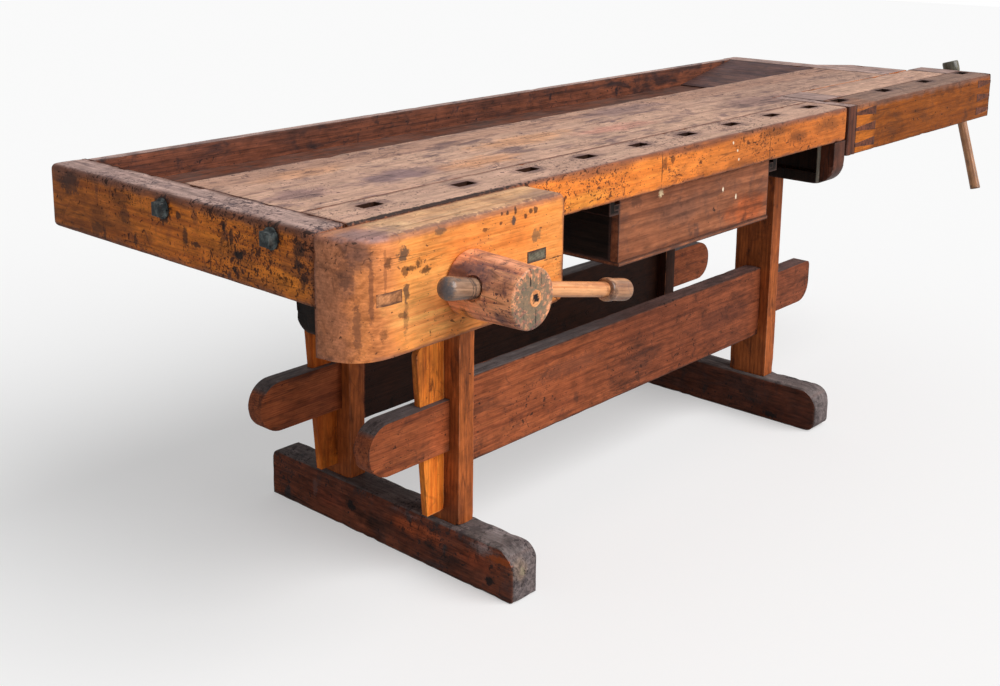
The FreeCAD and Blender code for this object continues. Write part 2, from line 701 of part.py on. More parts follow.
def guide_low():
    return vise_axis + d.guideRise - d.guideHeight / 2


def is_jaw_top(edge):
    """Test for the jaw's top edges, all but the one beside the slab."""
    ends = [vertex.Point for vertex in edge.Vertexes]
    on_top = all(abs(point.z - d.jawDepth.number) < 1e-4 for point in ends)
    beside_slab = all(abs(point.y - d.jawThickness.number) < 1e-4 for point in ends)
    return on_top and not beside_slab


def make_face_jaw():
    """The face vise's jaw: a thick block with its free end rounded in plan."""
    body = new_body("face_jaw", (0, 0 - jaw_face, jaw_low))
    sketch = new_sketch(body, "XY_Plane")
    draw_outline(sketch, rectangle(0, 0, d.jawRun, d.jawThickness))
    pad(body, sketch, d.jawDepth)
    round_edges(body, d.jawEndRadius, edge_at(2, 0, 0))
    round_edges(body, d.jawCornerRadius, edge_at(1, d.jawRun, 0))
    round_edges(body, d.jawTopRadius, is_jaw_top)
    axis_z = vise_axis - jaw_low
    bore(body, "XZ_Plane", (d.viseAxisPlace, axis_z), d.threadRadius + d.neckClearance)
    for number in (0, 1):
        left = guide_bar_left(number)
        low_z = guide_low() - jaw_low
        cut_rectangle(body, "XZ_Plane", (left, low_z), (left + d.guideWidth, low_z + d.guideHeight))
    # slot from below for the garter
    low = (d.viseAxisPlace - d.garterWidth / 2, d.garterPlace)
    high = (d.viseAxisPlace + d.garterWidth / 2, d.garterPlace + d.garterThickness)
    cut_rectangle(body, "XY_Plane", low, high, 0, axis_z * 2)


def make_guide_bars():
    """Two flat bars housed in the jaw; the left one's end follows the jaw's rounded corner."""
    depth = jaw_face + d.guideReach
    corner = (guide_bar_left(1), 0 - jaw_face, guide_low())
    board("right_guide_bar", corner, (d.guideWidth, depth, d.guideHeight))
    body = new_body("left_guide_bar", (guide_bar_left(0), 0 - jaw_face, guide_low()))
    sketch = new_sketch(body, "XY_Plane")
    run = d.jawEndRadius - guide_bar_left(0)
    sag = d.jawEndRadius - root(d.jawEndRadius * d.jawEndRadius - run * run)
    points = [(run, 0), (d.guideWidth, 0), (d.guideWidth, depth), (0, depth), (0, sag)]
    draw_outline(sketch, points, {4: run})
    pad(body, sketch, d.guideHeight)


def make_garter(label, corner, size, groove_radius, plane):
    """A flat key that rides in a screw's groove; its top is hollowed to the groove's bottom."""
    body = board(label, corner, size)
    width = size[0] if plane == "XZ_Plane" else size[1]
    bore(body, plane, (width / 2, size[2]), groove_radius + d.threadClearance * 2)


def make_face_garter():
    corner = (d.viseAxisPlace - d.garterWidth / 2, d.garterPlace - jaw_face, jaw_low)
    size = (d.garterWidth, d.garterThickness, vise_axis - jaw_low)
    make_garter("face_garter", corner, size, d.threadRadius - d.grooveDepth, "XZ_Plane")


def screw_profile(thread_end, groove_start, groove_end, thread_radius, groove_radius, shoulder):
    """Half profile of a screw's shank from its far end to the hub: (radius, place along the axis)."""
    return [
        (0, thread_end), (thread_radius, thread_end), (thread_radius, groove_end),
        (groove_radius, groove_end), (groove_radius, groove_start), (thread_radius, groove_start),
        (thread_radius, shoulder),
    ]


def make_face_screw():
    """Screw and hub turned from one piece, about Y; a hole across the hub takes the handle."""
    corner = (d.viseAxisPlace, 0, vise_axis)
    body = new_body("face_screw", corner, FreeCAD.Vector(0, 1, 0), d.handleTilt)
    groove_front = 0 - jaw_face + d.garterPlace - d.slideClearance
    groove_rear = groove_front + d.garterThickness + d.slideClearance * 2
    hub_start = 0 - jaw_face - d.jawGap
    groove_radius = d.threadRadius - d.grooveDepth
    shank = screw_profile(d.threadReach, groove_front, groove_rear, d.threadRadius, groove_radius, hub_start)
    hub = [(d.hubRearRadius, hub_start), (d.hubFrontRadius, 0 - hub_end), (0, 0 - hub_end)]
    points = (shank + hub)[::-1]
    turn_profile(body, points, "Y")
    rim = (d.hubRearRadius.number, d.hubFrontRadius.number)
    round_edges(body, d.hubEdgeRadius, lambda edge: is_rim(edge, rim))
    centre = (0 - jaw_face - d.handlePlace, 0)
    bore(body, "YZ_Plane", centre, d.handleRadius + d.handleClearance)
    # the inner knob's neck sinks into a seat in the hub
    side = 0 - d.hubRearRadius
    seat_depth = (d.hubRearRadius - d.innerKnobPlace + d.handleClearance) * 2
    bore(body, "YZ_Plane", centre, d.innerKnobRadius + d.seatClearance, side, seat_depth)


def is_rim(edge, radii):
    if not isinstance(edge.Curve, Part.Circle):
        return False
    return any(abs(edge.Curve.Radius - radius) < 1e-4 for radius in radii)


def knob_profile(near, length, swell, sign):
    """Half profile (along the bar, radius) of a turned knob with a neck, a swell and a domed end."""
    inner = d.handleRadius + d.socketClearance
    neck = swell - d.knobNeckInset
    stations = [
        (0, inner), (d.knobSocket, inner), (d.knobSocket, 0), (length, 0), (length, neck / 2),
        (length - d.knobTipEase, neck), (length - d.knobTipLength, swell),
        (d.knobShoulder, swell), (d.knobNeckLength, neck), (0, neck),
    ]
    return [(near + along * sign, radius) for along, radius in stations][::sign]


def make_face_handle():
    """A loose bar through the hub, with a turned knob on each end."""
    corner = (d.viseAxisPlace, 0 - jaw_face - d.handlePlace, vise_axis)
    turn_axis = FreeCAD.Vector(0, 1, 0)
    bar = new_body("face_handle_bar", corner, turn_axis, d.handleTilt)
    end_left = 0 - d.innerKnobPlace - d.knobSocket + d.slideClearance
    end_right = d.outerKnobPlace + d.knobSocket - d.slideClearance
    turn_profile(bar, rectangle(end_left, 0, end_right, d.handleRadius), "X")
    inner = new_body("face_handle_inner_knob", corner, turn_axis, d.handleTilt)
    turn_profile(inner, knob_profile(0 - d.innerKnobPlace, d.innerKnobLength, d.innerKnobRadius, -1), "X")
    outer = new_body("face_handle_outer_knob", corner, turn_axis, d.handleTilt)
    turn_profile(outer, knob_profile(d.outerKnobPlace, d.outerKnobLength, d.outerKnobRadius, 1), "X")


def make_nut_block():
    """The block under the slab that the face vise's screw and guide bars run through."""
    start = d.leftCapThickness
    body = new_body("face_nut_block", (start, 0, nut_block_low))
    sketch = new_sketch(body, "YZ_Plane")
    height = slab_under - nut_block_low
    draw_outline(sketch, rectangle(0, 0, d.nutBlockDepth, height))
    pad(body, sketch, d.nutBlockEnd - start)
    axis = (d.viseAxisPlace - start, vise_axis - nut_block_low)
    bore(body, "XZ_Plane", axis, d.threadRadius + d.threadClearance)
    clearance = d.slideClearance
    low_z = guide_low() - nut_block_low - clearance
    high_z = low_z + d.guideHeight + clearance * 2
    # the left bar runs half inside the end cap's rebate, so its way is open to the left
    first_end = guide_bar_left(0) + d.guideWidth + clearance - start
    cut_rectangle(body, "XZ_Plane", (0, low_z), (first_end, high_z))
    second = guide_bar_left(1) - clearance - start
    cut_rectangle(body, "XZ_Plane", (second, low_z), (second + d.guideWidth + clearance * 2, high_z))
    round_edges(body, d.nutBlockRadius, edge_at(0, d.nutBlockDepth, 0))


# ---- tail vise ----

def pin_outline(root_x, tip_x, middle_z):
    """One dovetail pin seen on the vise's front: tall at its root, short at its tip."""
    root = d.pinRootHeight / 2
    tip = d.pinTipHeight / 2
    points = [
        (root_x, middle_z - root), (tip_x, middle_z - tip),
        (tip_x, middle_z + tip), (root_x, middle_z + root),
    ]
    if tip_x.number < root_x.number:
        points.reverse()
    return points


def pin_heights():
    """Middles of the three pins above the vise's underside."""
    middle = d.viseHeight / 2
    return [middle - d.pinPitch, middle, middle + d.pinPitch]


def make_front_block():
    """The tail vise's dog block, with sockets for the dovetail pins of both its end pieces."""
    start = jaw_block_start
    run = d.viseEnd - start
    body = board("tail_front_block", (start, 0, vise_under), (run, d.frontBlockDepth, d.viseHeight))
    for root_x, tip_x in ((d.jawBlockRun, as_size(0)), (run - d.endBoardThickness, run)):
        for height in pin_heights():
            sketch = new_sketch(body, "XZ_Plane")
            draw_outline(sketch, pin_outline(root_x, tip_x, height))
            pocket(body, sketch)
    slot = cut_dog_slot(body, d.viseDogPlace - start)
    repeat(body, slot, d.viseDogPitch, 4)


def make_pinned_piece(label, start, run, root_x, tip_x):
    """An end piece of the tail vise: a block behind the dog block and the pins that run through it."""
    body = new_body(label, (start, 0, vise_under))
    sketch = new_sketch(body, "XY_Plane")
    draw_outline(sketch, rectangle(0, d.frontBlockDepth, run, d.viseDepth))
    pad(body, sketch, d.viseHeight)
    for height in pin_heights():
        pin = new_sketch(body, "XZ_Plane")
        draw_outline(pin, pin_outline(root_x, tip_x, height))
        pad(body, pin, d.frontBlockDepth)
    return body


def cut_rail_groove(body):
    """The groove in the vise's back that slides along the guide rail."""
    clearance = d.viseClearance / 2
    low = (d.viseDepth - d.guideRailDepth, guide_rail_low - clearance - vise_under)
    high = (d.viseDepth, guide_rail_low + d.guideRailHeight + clearance - vise_under)
    cut_rectangle(body, "YZ_Plane", low, high)


def make_jaw_block():
    start = jaw_block_start
    body = make_pinned_piece("tail_jaw_block", start, d.jawBlockRun, d.jawBlockRun, as_size(0))
    cut_dog_slot(body, d.viseDogPlace - start)
    cut_rail_groove(body)
    size = (d.linerThickness, d.viseDepth, d.viseHeight)
    liner = board("tail_jaw_liner", (liner_start, 0, vise_under), size)
    cut_rail_groove(liner)


def tail_garter_place():
    """Left face of the tail vise's garter, inside the end board."""
    return end_board_start + (d.endBoardThickness - d.tailGarterThickness) / 2


def make_end_board():
    """The tail vise's right end, which carries the screw's neck and its garter."""
    start = end_board_start
    body = make_pinned_piece("tail_end_board", start, d.endBoardThickness, as_size(0), d.endBoardThickness)
    cut_dog_slot(body, d.viseDogPlace + d.viseDogPitch * 3 - start)
    axis_z = tail_axis - vise_under
    bore(body, "YZ_Plane", (d.tailAxisPlace, axis_z), d.tailThreadRadius + d.neckClearance)
    half = d.tailGarterWidth / 2
    left = tail_garter_place() - start
    low = (left, d.tailAxisPlace - half)
    high = (left + d.tailGarterThickness, d.tailAxisPlace + half)
    cut_rectangle(body, "XY_Plane", low, high, 0, axis_z * 2)
    corner = (tail_garter_place(), d.tailAxisPlace - half, vise_under)
    size = (d.tailGarterThickness, d.tailGarterWidth, axis_z)
    make_garter("tail_garter", corner, size, d.tailThreadRadius - d.tailGrooveDepth, "YZ_Plane")


def make_top_plate_and_runner():
    run = end_board_start - jaw_block_end
    size = (run, d.viseDepth - d.frontBlockDepth, d.topPlateThickness)
    board("tail_top_plate", (jaw_block_end, d.frontBlockDepth, plate_under), size)
    runner = new_body("tail_runner", (jaw_block_end, 0, vise_under))
    sketch = new_sketch(runner, "YZ_Plane")
    low_z = runner_low - vise_under
    draw_outline(sketch, rectangle(d.runnerPlace, low_z, d.viseDepth, low_z + d.runnerHeight))
    pad(runner, sketch, run)
    cut_rail_groove(runner)


def make_guide_rail():
    """The rail on the slab's notch that carries the tail vise."""
    clearance = d.viseClearance / 2
    start_y = d.viseDepth - d.guideRailDepth + clearance
    corner = (d.slabFrontRun, start_y, guide_rail_low)
    board("tail_guide_rail", corner, (plank_end - d.slabFrontRun, notch_rear - start_y, d.guideRailHeight))


def make_tail_screw():
    """Screw and hub of the tail vise, turned about X, with the handle's hole across the hub."""
    corner = (0, d.tailAxisPlace, tail_axis)
    body = new_body("tail_screw", corner, FreeCAD.Vector(-1, 0, 0), d.tailHandleLean)
    groove_left = tail_garter_place() - d.slideClearance
    groove_right = tail_garter_place() + d.tailGarterThickness + d.slideClearance
    thread_end = end_board_start - d.tailThreadReach
    groove_radius = d.tailThreadRadius - d.tailGrooveDepth
    shank = screw_profile(
        thread_end, groove_right, groove_left, d.tailThreadRadius, groove_radius, tail_hub_start
    )
    hub = [(d.tailHubRadius, tail_hub_start), (d.tailHubNose, tail_hub_end), (0, tail_hub_end)]
    points = [(along, radius) for radius, along in shank + hub]
    turn_profile(body, points[::-1], "X")
    rim = (d.tailHubRadius.number, d.tailHubNose.number)
    round_edges(body, d.hubEdgeRadius, lambda edge: is_rim(edge, rim))
    place_x = tail_hub_start + d.tailHandlePlace
    bore(body, "XY_Plane", (place_x, 0), d.tailBarRadius + d.handleClearance)


def make_tail_handle():
    """The tail vise's bar, flared at its lower end, and the knob that rests on the hub."""
    corner = (tail_hub_start + d.tailHandlePlace, d.tailAxisPlace, tail_axis)
    axis = FreeCAD.Vector(-1, 0, 0)
    bar = new_body("tail_handle_bar", corner, axis, d.tailHandleLean)
    sketch = new_sketch(bar, "XZ_Plane")
    top = d.tailKnobSeat + d.tailKnobSocket - d.slideClearance
    points = [
        (0, 0 - d.tailBarBelow), (d.tailBarTipRadius, 0 - d.tailBarBelow),
        (d.tailBarRadius, 0 - d.tailBarStraight), (d.tailBarRadius, top), (0, top),
    ]
    draw_outline(sketch, points)
    revolve_upright(bar, sketch)
    knob = new_body("tail_handle_knob", corner, axis, d.tailHandleLean)
    profile = new_sketch(knob, "XZ_Plane")
    seat = d.tailKnobSeat
    end = seat + d.tailKnobLength
    inner = d.tailBarRadius + d.socketClearance
    socket_end = seat + d.tailKnobSocket
    points = [
        (inner, seat), (d.tailKnobNeck, seat), (d.tailKnobRadius, seat + d.tailKnobShoulder),
        (d.tailKnobRadius, end - d.tailKnobTip), (d.tailKnobNeck, end), (0, end), (0, socket_end),
        (inner, socket_end),
    ]
    draw_outline(profile, points)
    revolve_upright(knob, profile)


def revolve_upright(body, sketch):
    """Turns a half profile of the XZ plane about the body's Z axis."""
    revolution = body.newObject("PartDesign::Revolution", "Revolution")
    revolution.Profile = sketch
    revolution.ReferenceAxis = (sketch, ["V_Axis"])
    revolution.Angle = 360
    document.recompute()


def make_end_block():
    """The block under the slab's free end, rounded below and housed out on its left side."""
    start = d.slabFrontRun - d.endBlockWidth
    body = new_body("slab_end_block", (start, 0, end_block_low))
    sketch = new_sketch(body, "YZ_Plane")
    height = slab_under - end_block_low
    draw_outline(sketch, rectangle(d.endBlockFront, 0, d.endBlockRear, height))
    pad(body, sketch, d.endBlockWidth)
    low = (d.housingFront, d.housingRise)
    cut_rectangle(body, "YZ_Plane", low, (d.endBlockRear, height), 0, d.housingDepth * 2)
    round_edges(body, d.endBlockRadius, edge_at(0, d.endBlockFront, 0))


# ---- drawer ----

def make_drawer():
    """A plain nailed drawer; cleats on its sides hang in the runners under the slab."""
    place_x = d.drawerPlace
    width = d.drawerWidth
    body_y = d.drawerFront + d.drawerFrontThickness
    body_depth = d.drawerDepth - d.drawerFrontThickness
    low = drawer_low + d.drawerBottomThickness
    height = drawer_top - low
    side = d.drawerSideThickness
    front_height = slab_under - d.drawerFrontGap - low
    board("drawer_front", (place_x, d.drawerFront, low), (width, d.drawerFrontThickness, front_height))
    for label, side_x in (("drawer_left_side", place_x), ("drawer_right_side", place_x + width - side)):
        board(label, (side_x, body_y, low), (side, body_depth, height))
    back_y = d.drawerFront + d.drawerDepth - side
    board("drawer_back", (place_x + side, back_y, low), (width - side * 2, side, height))
    bottom_y = d.drawerFront - d.drawerLip
    bottom_size = (width, d.drawerDepth + d.drawerLip, d.drawerBottomThickness)
    board("drawer_bottom", (place_x, bottom_y, drawer_low), bottom_size)
    cleat_low = drawer_top - d.cleatHeight
    cleats = (("drawer_left_cleat", place_x - d.cleatWidth), ("drawer_right_cleat", place_x + width))
    for label, cleat_x in cleats:
        board(label, (cleat_x, d.drawerFront, cleat_low), (d.cleatWidth, d.drawerDepth, d.cleatHeight))


def make_runner(label, mirror):
    """An L-shaped runner under the slab: its lip carries a cleat of the drawer."""
    gap = d.runnerGap
    reach = d.cleatWidth + gap
    height = slab_under - (drawer_top - d.cleatHeight - gap - d.runnerLip)
    web = d.runnerWeb
    lip_end = web + reach - gap * 2
    if mirror:
        start_x = d.drawerPlace + d.drawerWidth + gap * 2
        points = [
            (0, 0), (lip_end, 0), (lip_end, height), (lip_end - web, height),
            (lip_end - web, d.runnerLip), (0, d.runnerLip),
        ]
    else:
        start_x = d.drawerPlace - reach - web
        points = [
            (0, 0), (lip_end, 0), (lip_end, d.runnerLip), (web, d.runnerLip), (web, height), (0, height),
        ]
    body = new_body(label, (start_x, d.drawerFront, slab_under - height))
    sketch = new_sketch(body, "XZ_Plane")
    draw_outline(sketch, points)
    pad(body, sketch, d.drawerDepth)


def check_document():
    """Stops the build if any object failed or any node's shape is empty or invalid."""
    for item in document.Objects:
        if "Invalid" in item.State or "Error" in item.State:
            sys.exit(f"failed object: {item.Name} {item.Label} {item.State}")
    for item in PART_NODES:
        if item.Shape.isNull() or not item.Shape.isValid():
            sys.exit(f"bad shape: {item.Label}")


def export_nodes():
    os.makedirs("parts", exist_ok=True)
    for item in PART_NODES:
        item.Shape.exportStep(f"parts/{item.Label}.step")
        print(item.Label, len(item.Shape.Solids), round(item.Shape.Volume / 1000), "cm3")


make_dog_strip()
make_top_plank()
make_tray()
make_left_cap()
make_right_cap()
make_bolts("left_cap_bolts", 0, 1, (d.frontBoltPlace, rear_bolt), d.leftCapThickness)
make_bolts("right_cap_bolts", swell_end, -1, right_bolts, d.rightCapThickness + d.capSwell)
make_foot("left_foot", d.leftPostPlace, d.leftSoleRadius)
make_foot("right_foot", d.rightPostPlace, d.rightSoleRadius)
for side_name, post_place in (("left", d.leftPostPlace), ("right", d.rightPostPlace)):
    make_post(f"{side_name}_front_post", post_place, d.frontPostPlace)
    make_post(f"{side_name}_rear_post", post_place, d.rearPostPlace)
make_bearers()
make_dowels()
make_pegs()
make_stretcher("front_stretcher", "front_wedge", d.frontPostPlace, True)
make_stretcher("rear_stretcher", "rear_wedge", d.rearPostPlace, False)
make_face_jaw()
make_guide_bars()
make_face_garter()
make_face_screw()
make_face_handle()
make_nut_block()
make_front_block()
make_jaw_block()
make_end_board()
make_top_plate_and_runner()
make_guide_rail()
make_tail_screw()
make_tail_handle()
make_end_block()
make_drawer()
make_runner("drawer_left_runner", False)
make_runner("drawer_right_runner", True)
document.recompute()
check_document()
export_nodes()
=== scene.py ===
import json
import math
import random

import bmesh
import bpy
from mathutils import Matrix, Vector, noise

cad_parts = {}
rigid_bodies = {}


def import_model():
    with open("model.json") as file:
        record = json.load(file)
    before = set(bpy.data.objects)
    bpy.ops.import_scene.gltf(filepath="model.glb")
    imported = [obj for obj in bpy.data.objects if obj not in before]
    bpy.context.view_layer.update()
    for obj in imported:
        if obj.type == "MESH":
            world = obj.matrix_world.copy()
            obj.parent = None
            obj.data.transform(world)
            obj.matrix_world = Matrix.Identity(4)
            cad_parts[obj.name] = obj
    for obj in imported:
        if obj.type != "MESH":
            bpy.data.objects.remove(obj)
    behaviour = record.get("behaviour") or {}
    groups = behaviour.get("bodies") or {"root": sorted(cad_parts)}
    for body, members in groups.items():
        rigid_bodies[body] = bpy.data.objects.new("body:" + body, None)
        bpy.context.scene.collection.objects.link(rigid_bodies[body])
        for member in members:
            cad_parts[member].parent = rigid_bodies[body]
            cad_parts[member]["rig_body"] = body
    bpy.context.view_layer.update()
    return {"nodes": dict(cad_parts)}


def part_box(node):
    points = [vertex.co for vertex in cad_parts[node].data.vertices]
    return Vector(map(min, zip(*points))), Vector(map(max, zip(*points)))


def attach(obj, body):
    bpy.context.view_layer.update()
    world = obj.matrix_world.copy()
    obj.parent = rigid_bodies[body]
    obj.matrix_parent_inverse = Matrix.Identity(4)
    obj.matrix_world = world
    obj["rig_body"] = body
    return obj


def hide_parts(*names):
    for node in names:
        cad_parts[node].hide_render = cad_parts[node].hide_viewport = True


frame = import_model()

nodes = frame["nodes"]
scene = bpy.context.scene
scene.view_settings.view_transform = "Standard"

# middle of the part in its working lengths: left end cap, slab front, floor
originX = 1.28175
originY = 0.264


def at(x, y, z):
    return Vector((x / 1000 - originX, y / 1000 - originY, z / 1000))


view = {
    "place": (-1229.4, -1440.7, 1311.5),
    "yaw": 0.8125, "pitch": 0.2195, "roll": 0.003,
    "lens": 47.76, "sensor": 36, "shiftX": 0.0504, "shiftY": -0.1515, "farthest": 60,
}


def makeCamera(s):
    data = bpy.data.cameras.new("view")
    camera = bpy.data.objects.new("view", data)
    scene.collection.objects.link(camera)
    yaw, pitch, roll = s["yaw"], s["pitch"], s["roll"]
    forward = Vector((math.sin(yaw) * math.cos(pitch), math.cos(yaw) * math.cos(pitch), -math.sin(pitch)))
    level = Vector((math.cos(yaw), -math.sin(yaw), 0))
    lift = level.cross(forward)
    right = level * math.cos(roll) + lift * math.sin(roll)
    up = lift * math.cos(roll) - level * math.sin(roll)
    turn = Matrix((right, up, -forward)).transposed()
    camera.matrix_world = Matrix.Translation(at(*s["place"])) @ turn.to_4x4()
    data.sensor_width = s["sensor"]
    data.lens = s["lens"]
    data.shift_x = s["shiftX"]
    data.shift_y = s["shiftY"]
    data.clip_end = s["farthest"]
    scene.camera = camera


makeCamera(view)
print("camera placed")


# colours are written as screen values from 0 to 255

def shade(color):
    tones = [c / 255 for c in color]
    linear = [c / 12.92 if c <= 0.04045 else ((c + 0.055) / 1.055) ** 2.4 for c in tones]
    return (*linear, 1)


class Sheet:
    # node sums in one line each; every method but node gives back an output socket

    def __init__(self, tree):
        self.tree = tree

    def node(self, kind, inputs, **settings):
        made = self.tree.nodes.new(kind)
        for key, value in settings.items():
            setattr(made, key, value)
        for key, value in inputs.items():
            if isinstance(value, bpy.types.NodeSocket):
                self.tree.links.new(value, made.inputs[key])
            else:
                made.inputs[key].default_value = value
        return made

    def sum(self, operation, a, b=0.0, c=0.0):
        return self.node("ShaderNodeMath", {0: a, 1: b, 2: c}, operation=operation).outputs[0]

    def add(self, a, b):
        return self.sum("ADD", a, b)

    def less(self, a, b):
        return self.sum("SUBTRACT", a, b)

    def times(self, a, b):
        return self.sum("MULTIPLY", a, b)

    def most(self, a, b):
        return self.sum("MAXIMUM", a, b)

    def step(self, value, low, high):
        inputs = {"Value": value, "From Min": low, "From Max": high}
        return self.node("ShaderNodeMapRange", inputs, interpolation_type="SMOOTHSTEP").outputs["Result"]

    def blend(self, share, a, b, blend="MIX"):
        inputs = {0: share, 6: a, 7: b}
        return self.node("ShaderNodeMix", inputs, data_type="RGBA", blend_type=blend).outputs[2]

    def vector(self, operation, a, b):
        return self.node("ShaderNodeVectorMath", {0: a, 1: b}, operation=operation)

    def scaled(self, a, factors):
        return self.vector("MULTIPLY", a, factors).outputs[0]

    def along(self, a, direction):
        return self.vector("DOT_PRODUCT", a, direction).outputs["Value"]

    def join(self, x, y, z):
        return self.node("ShaderNodeCombineXYZ", {0: x, 1: y, 2: z}).outputs[0]

    def split(self, a):
        return self.node("ShaderNodeSeparateXYZ", {0: a}).outputs

    def noise(self, place, scale, detail=2.0, rough=0.5, warp=0.0):
        inputs = {"Vector": place, "Scale": scale, "Detail": detail, "Roughness": rough, "Distortion": warp}
        return self.node("ShaderNodeTexNoise", inputs).outputs["Fac"]

    def stretched(self, place, pattern, *changes):
        return self.noise(self.scaled(place, patterns[pattern]), 1.0, *changes)

    def length(self, a):
        return self.vector("LENGTH", a, (0, 0, 0)).outputs["Value"]


woodInputs = {
    "Vector": ["Place", "Spot"],
    "Color": ["Dark", "Mid", "Light", "Stain", "Wear", "Dust"],
    "Float": ["Edge", "Ring Size", "Ring", "Streak", "Mottle", "Blotch", "Smudge", "Dents", "Scratch",
              "Crack", "Wear Width", "Dust Amount", "Gloss"],
}


# how tightly each pattern is packed along, across and through a board
patterns = {
    "bend": (0.35, 1, 1), "far": (0.2, 1, 1), "streak": (3.2, 105, 105), "fine": (22, 300, 300),
    "short": (32, 120, 120), "wide": (2.4, 8, 8), "patch": (9, 26, 26), "check": (1.6, 26, 26),
    "speck": (210, 250, 250), "bruise": (74, 96, 88), "soft": (30, 38, 22),
    "longCut": (9, 3, 30), "crossCut": (4, 14, 9),
}
checkColor = (0.010, 0.007, 0.006, 1)
pitColor = (0.012, 0.009, 0.008, 1)


def makeWoodGroup():
    tree = bpy.data.node_groups.new("agedWood", "ShaderNodeTree")
    for kind, names in woodInputs.items():
        for name in names:
            tree.interface.new_socket(name, in_out="INPUT", socket_type="NodeSocket" + kind)
    for name, kind in (("Color", "Color"), ("Roughness", "Float"), ("Height", "Float")):
        tree.interface.new_socket(name, in_out="OUTPUT", socket_type="NodeSocket" + kind)
    g = Sheet(tree)
    given = tree.nodes.new("NodeGroupInput").outputs
    place = given["Place"]
    spot = given["Spot"]

    # growth rings bend slowly along the board
    bend = g.noise(g.scaled(place, patterns["bend"]), 5.0, 2)
    far = g.noise(g.scaled(place, patterns["far"]), 22.0, 2)
    parts = g.split(place)
    sway = g.add(g.times(g.less(bend, 0.5), 0.09), g.times(g.less(far, 0.5), 0.012))
    heart = g.join(0.0, g.add(parts[1], sway), g.add(parts[2], 0.11))
    radius = g.length(heart)
    phase = g.sum("FRACT", g.sum("DIVIDE", radius, given["Ring Size"]))
    late = g.times(g.step(phase, 0.35, 0.9), g.less(1.0, g.step(phase, 0.93, 1.0)))

    # grain: long streaks, fine fibres, short flecks and wide patches
    streak = g.stretched(place, "streak", 3, 0.6)
    fine = g.stretched(place, "fine", 3, 0.65)
    short = g.stretched(place, "short", 3, 0.6)
    wide = g.stretched(place, "wide", 3, 0.62)
    patch = g.stretched(place, "patch", 4, 0.66, 0.6)
    blot = g.noise(spot, 22.0, 3, 0.6)

    # dents, from specks to thumb-sized bruises, crowd in places
    crowd = g.step(g.noise(spot, 7.0, 2), 0.34, 0.64)
    need = g.less(0.80, g.times(g.add(given["Dents"], g.times(crowd, given["Dents"])), 0.055))
    speck = g.stretched(spot, "speck", 2, 0.55, 0.4)
    bruise = g.stretched(spot, "bruise", 3, 0.55, 0.5)
    speckMark = g.step(speck, g.less(need, 0.045), g.less(need, 0.005))
    bruiseMark = g.step(bruise, g.less(need, 0.05), need)
    dent = g.most(speckMark, bruiseMark)
    soft = g.step(g.stretched(spot, "soft", 4, 0.62), 0.55, 0.7)

    # thin knife marks, and checks that follow the grain
    longCut = g.sum("ABSOLUTE", g.less(g.stretched(spot, "longCut", 1, 0.4, 0.3), 0.5))
    crossCut = g.sum("ABSOLUTE", g.less(g.stretched(spot, "crossCut", 1, 0.4, 0.5), 0.5))
    gate = g.step(g.noise(spot, 16.0, 2), 0.5, 0.66)
    nearLine = g.most(g.less(1.0, g.step(longCut, 0.0, 0.012)), g.less(1.0, g.step(crossCut, 0.0, 0.010)))
    scratch = g.times(g.times(nearLine, gate), given["Scratch"])
    check = g.sum("ABSOLUTE", g.less(g.stretched(place, "check", 2, 0.5), 0.5))
    check = g.times(g.less(1.0, g.step(check, 0.0, 0.010)), g.step(wide, 0.5, 0.6))
    check = g.times(check, given["Crack"])

    # wear runs in from the edges
    fray = g.add(g.times(g.less(g.noise(spot, 24.0, 3, 0.6), 0.5), 2.6), 0.8)
    worn = g.less(1.0, g.step(given["Edge"], 0.0, g.times(given["Wear Width"], fray)))

    tone = g.step(g.add(streak, g.times(g.less(wide, 0.5), 0.7)), 0.3, 0.7)
    color = g.blend(tone, given["Mid"], given["Light"])
    ringShare = g.times(late, given["Ring"])
    color = g.blend(ringShare, color, given["Dark"])
    streakShare = g.times(g.step(g.less(1.0, streak), 0.5, 0.72), given["Streak"])
    color = g.blend(streakShare, color, given["Dark"])
    soil = g.step(g.add(patch, g.times(g.less(wide, 0.5), 0.6)), 0.5, 0.7)
    color = g.blend(g.times(soil, given["Blotch"]), color, given["Stain"])
    color = g.blend(g.times(g.times(soft, g.add(crowd, 0.25)), given["Smudge"]), color, given["Stain"])
    color = g.blend(g.times(worn, 0.85), color, given["Wear"])

    # uneven brightness in three sizes
    stir = g.add(g.times(g.less(fine, 0.5), 1.2), g.times(g.less(short, 0.5), 1.1))
    stir = g.add(stir, g.times(g.less(blot, 0.5), 0.9))
    gain = g.add(1.0, g.times(stir, given["Mottle"]))
    color = g.blend(1.0, color, g.join(gain, gain, gain), "MULTIPLY")

    color = g.blend(g.times(scratch, 0.7), color, given["Stain"])
    color = g.blend(g.times(check, 0.85), color, checkColor)
    dentColor = g.blend(0.35, given["Stain"], pitColor)
    color = g.blend(g.times(dent, 0.88), color, dentColor)
    dusty = g.times(g.step(g.noise(spot, 15.0, 4, 0.7), 0.25, 0.7), given["Dust Amount"])
    color = g.blend(dusty, color, given["Dust"])

    gloss = g.add(g.less(1.0, given["Gloss"]), g.times(g.less(patch, 0.5), 0.35))
    gloss = g.add(gloss, g.add(g.times(dusty, 0.4), g.times(dent, 0.3)))
    height = g.add(g.times(fine, 0.35), g.times(ringShare, 0.12))
    height = g.less(height, g.add(g.times(dent, 1.0), g.add(g.times(scratch, 0.45), check)))
    height = g.add(height, g.times(patch, 0.5))
    g.node("NodeGroupOutput", {"Color": color, "Roughness": gloss, "Height": height})
    return tree


woodGroup = makeWoodGroup()

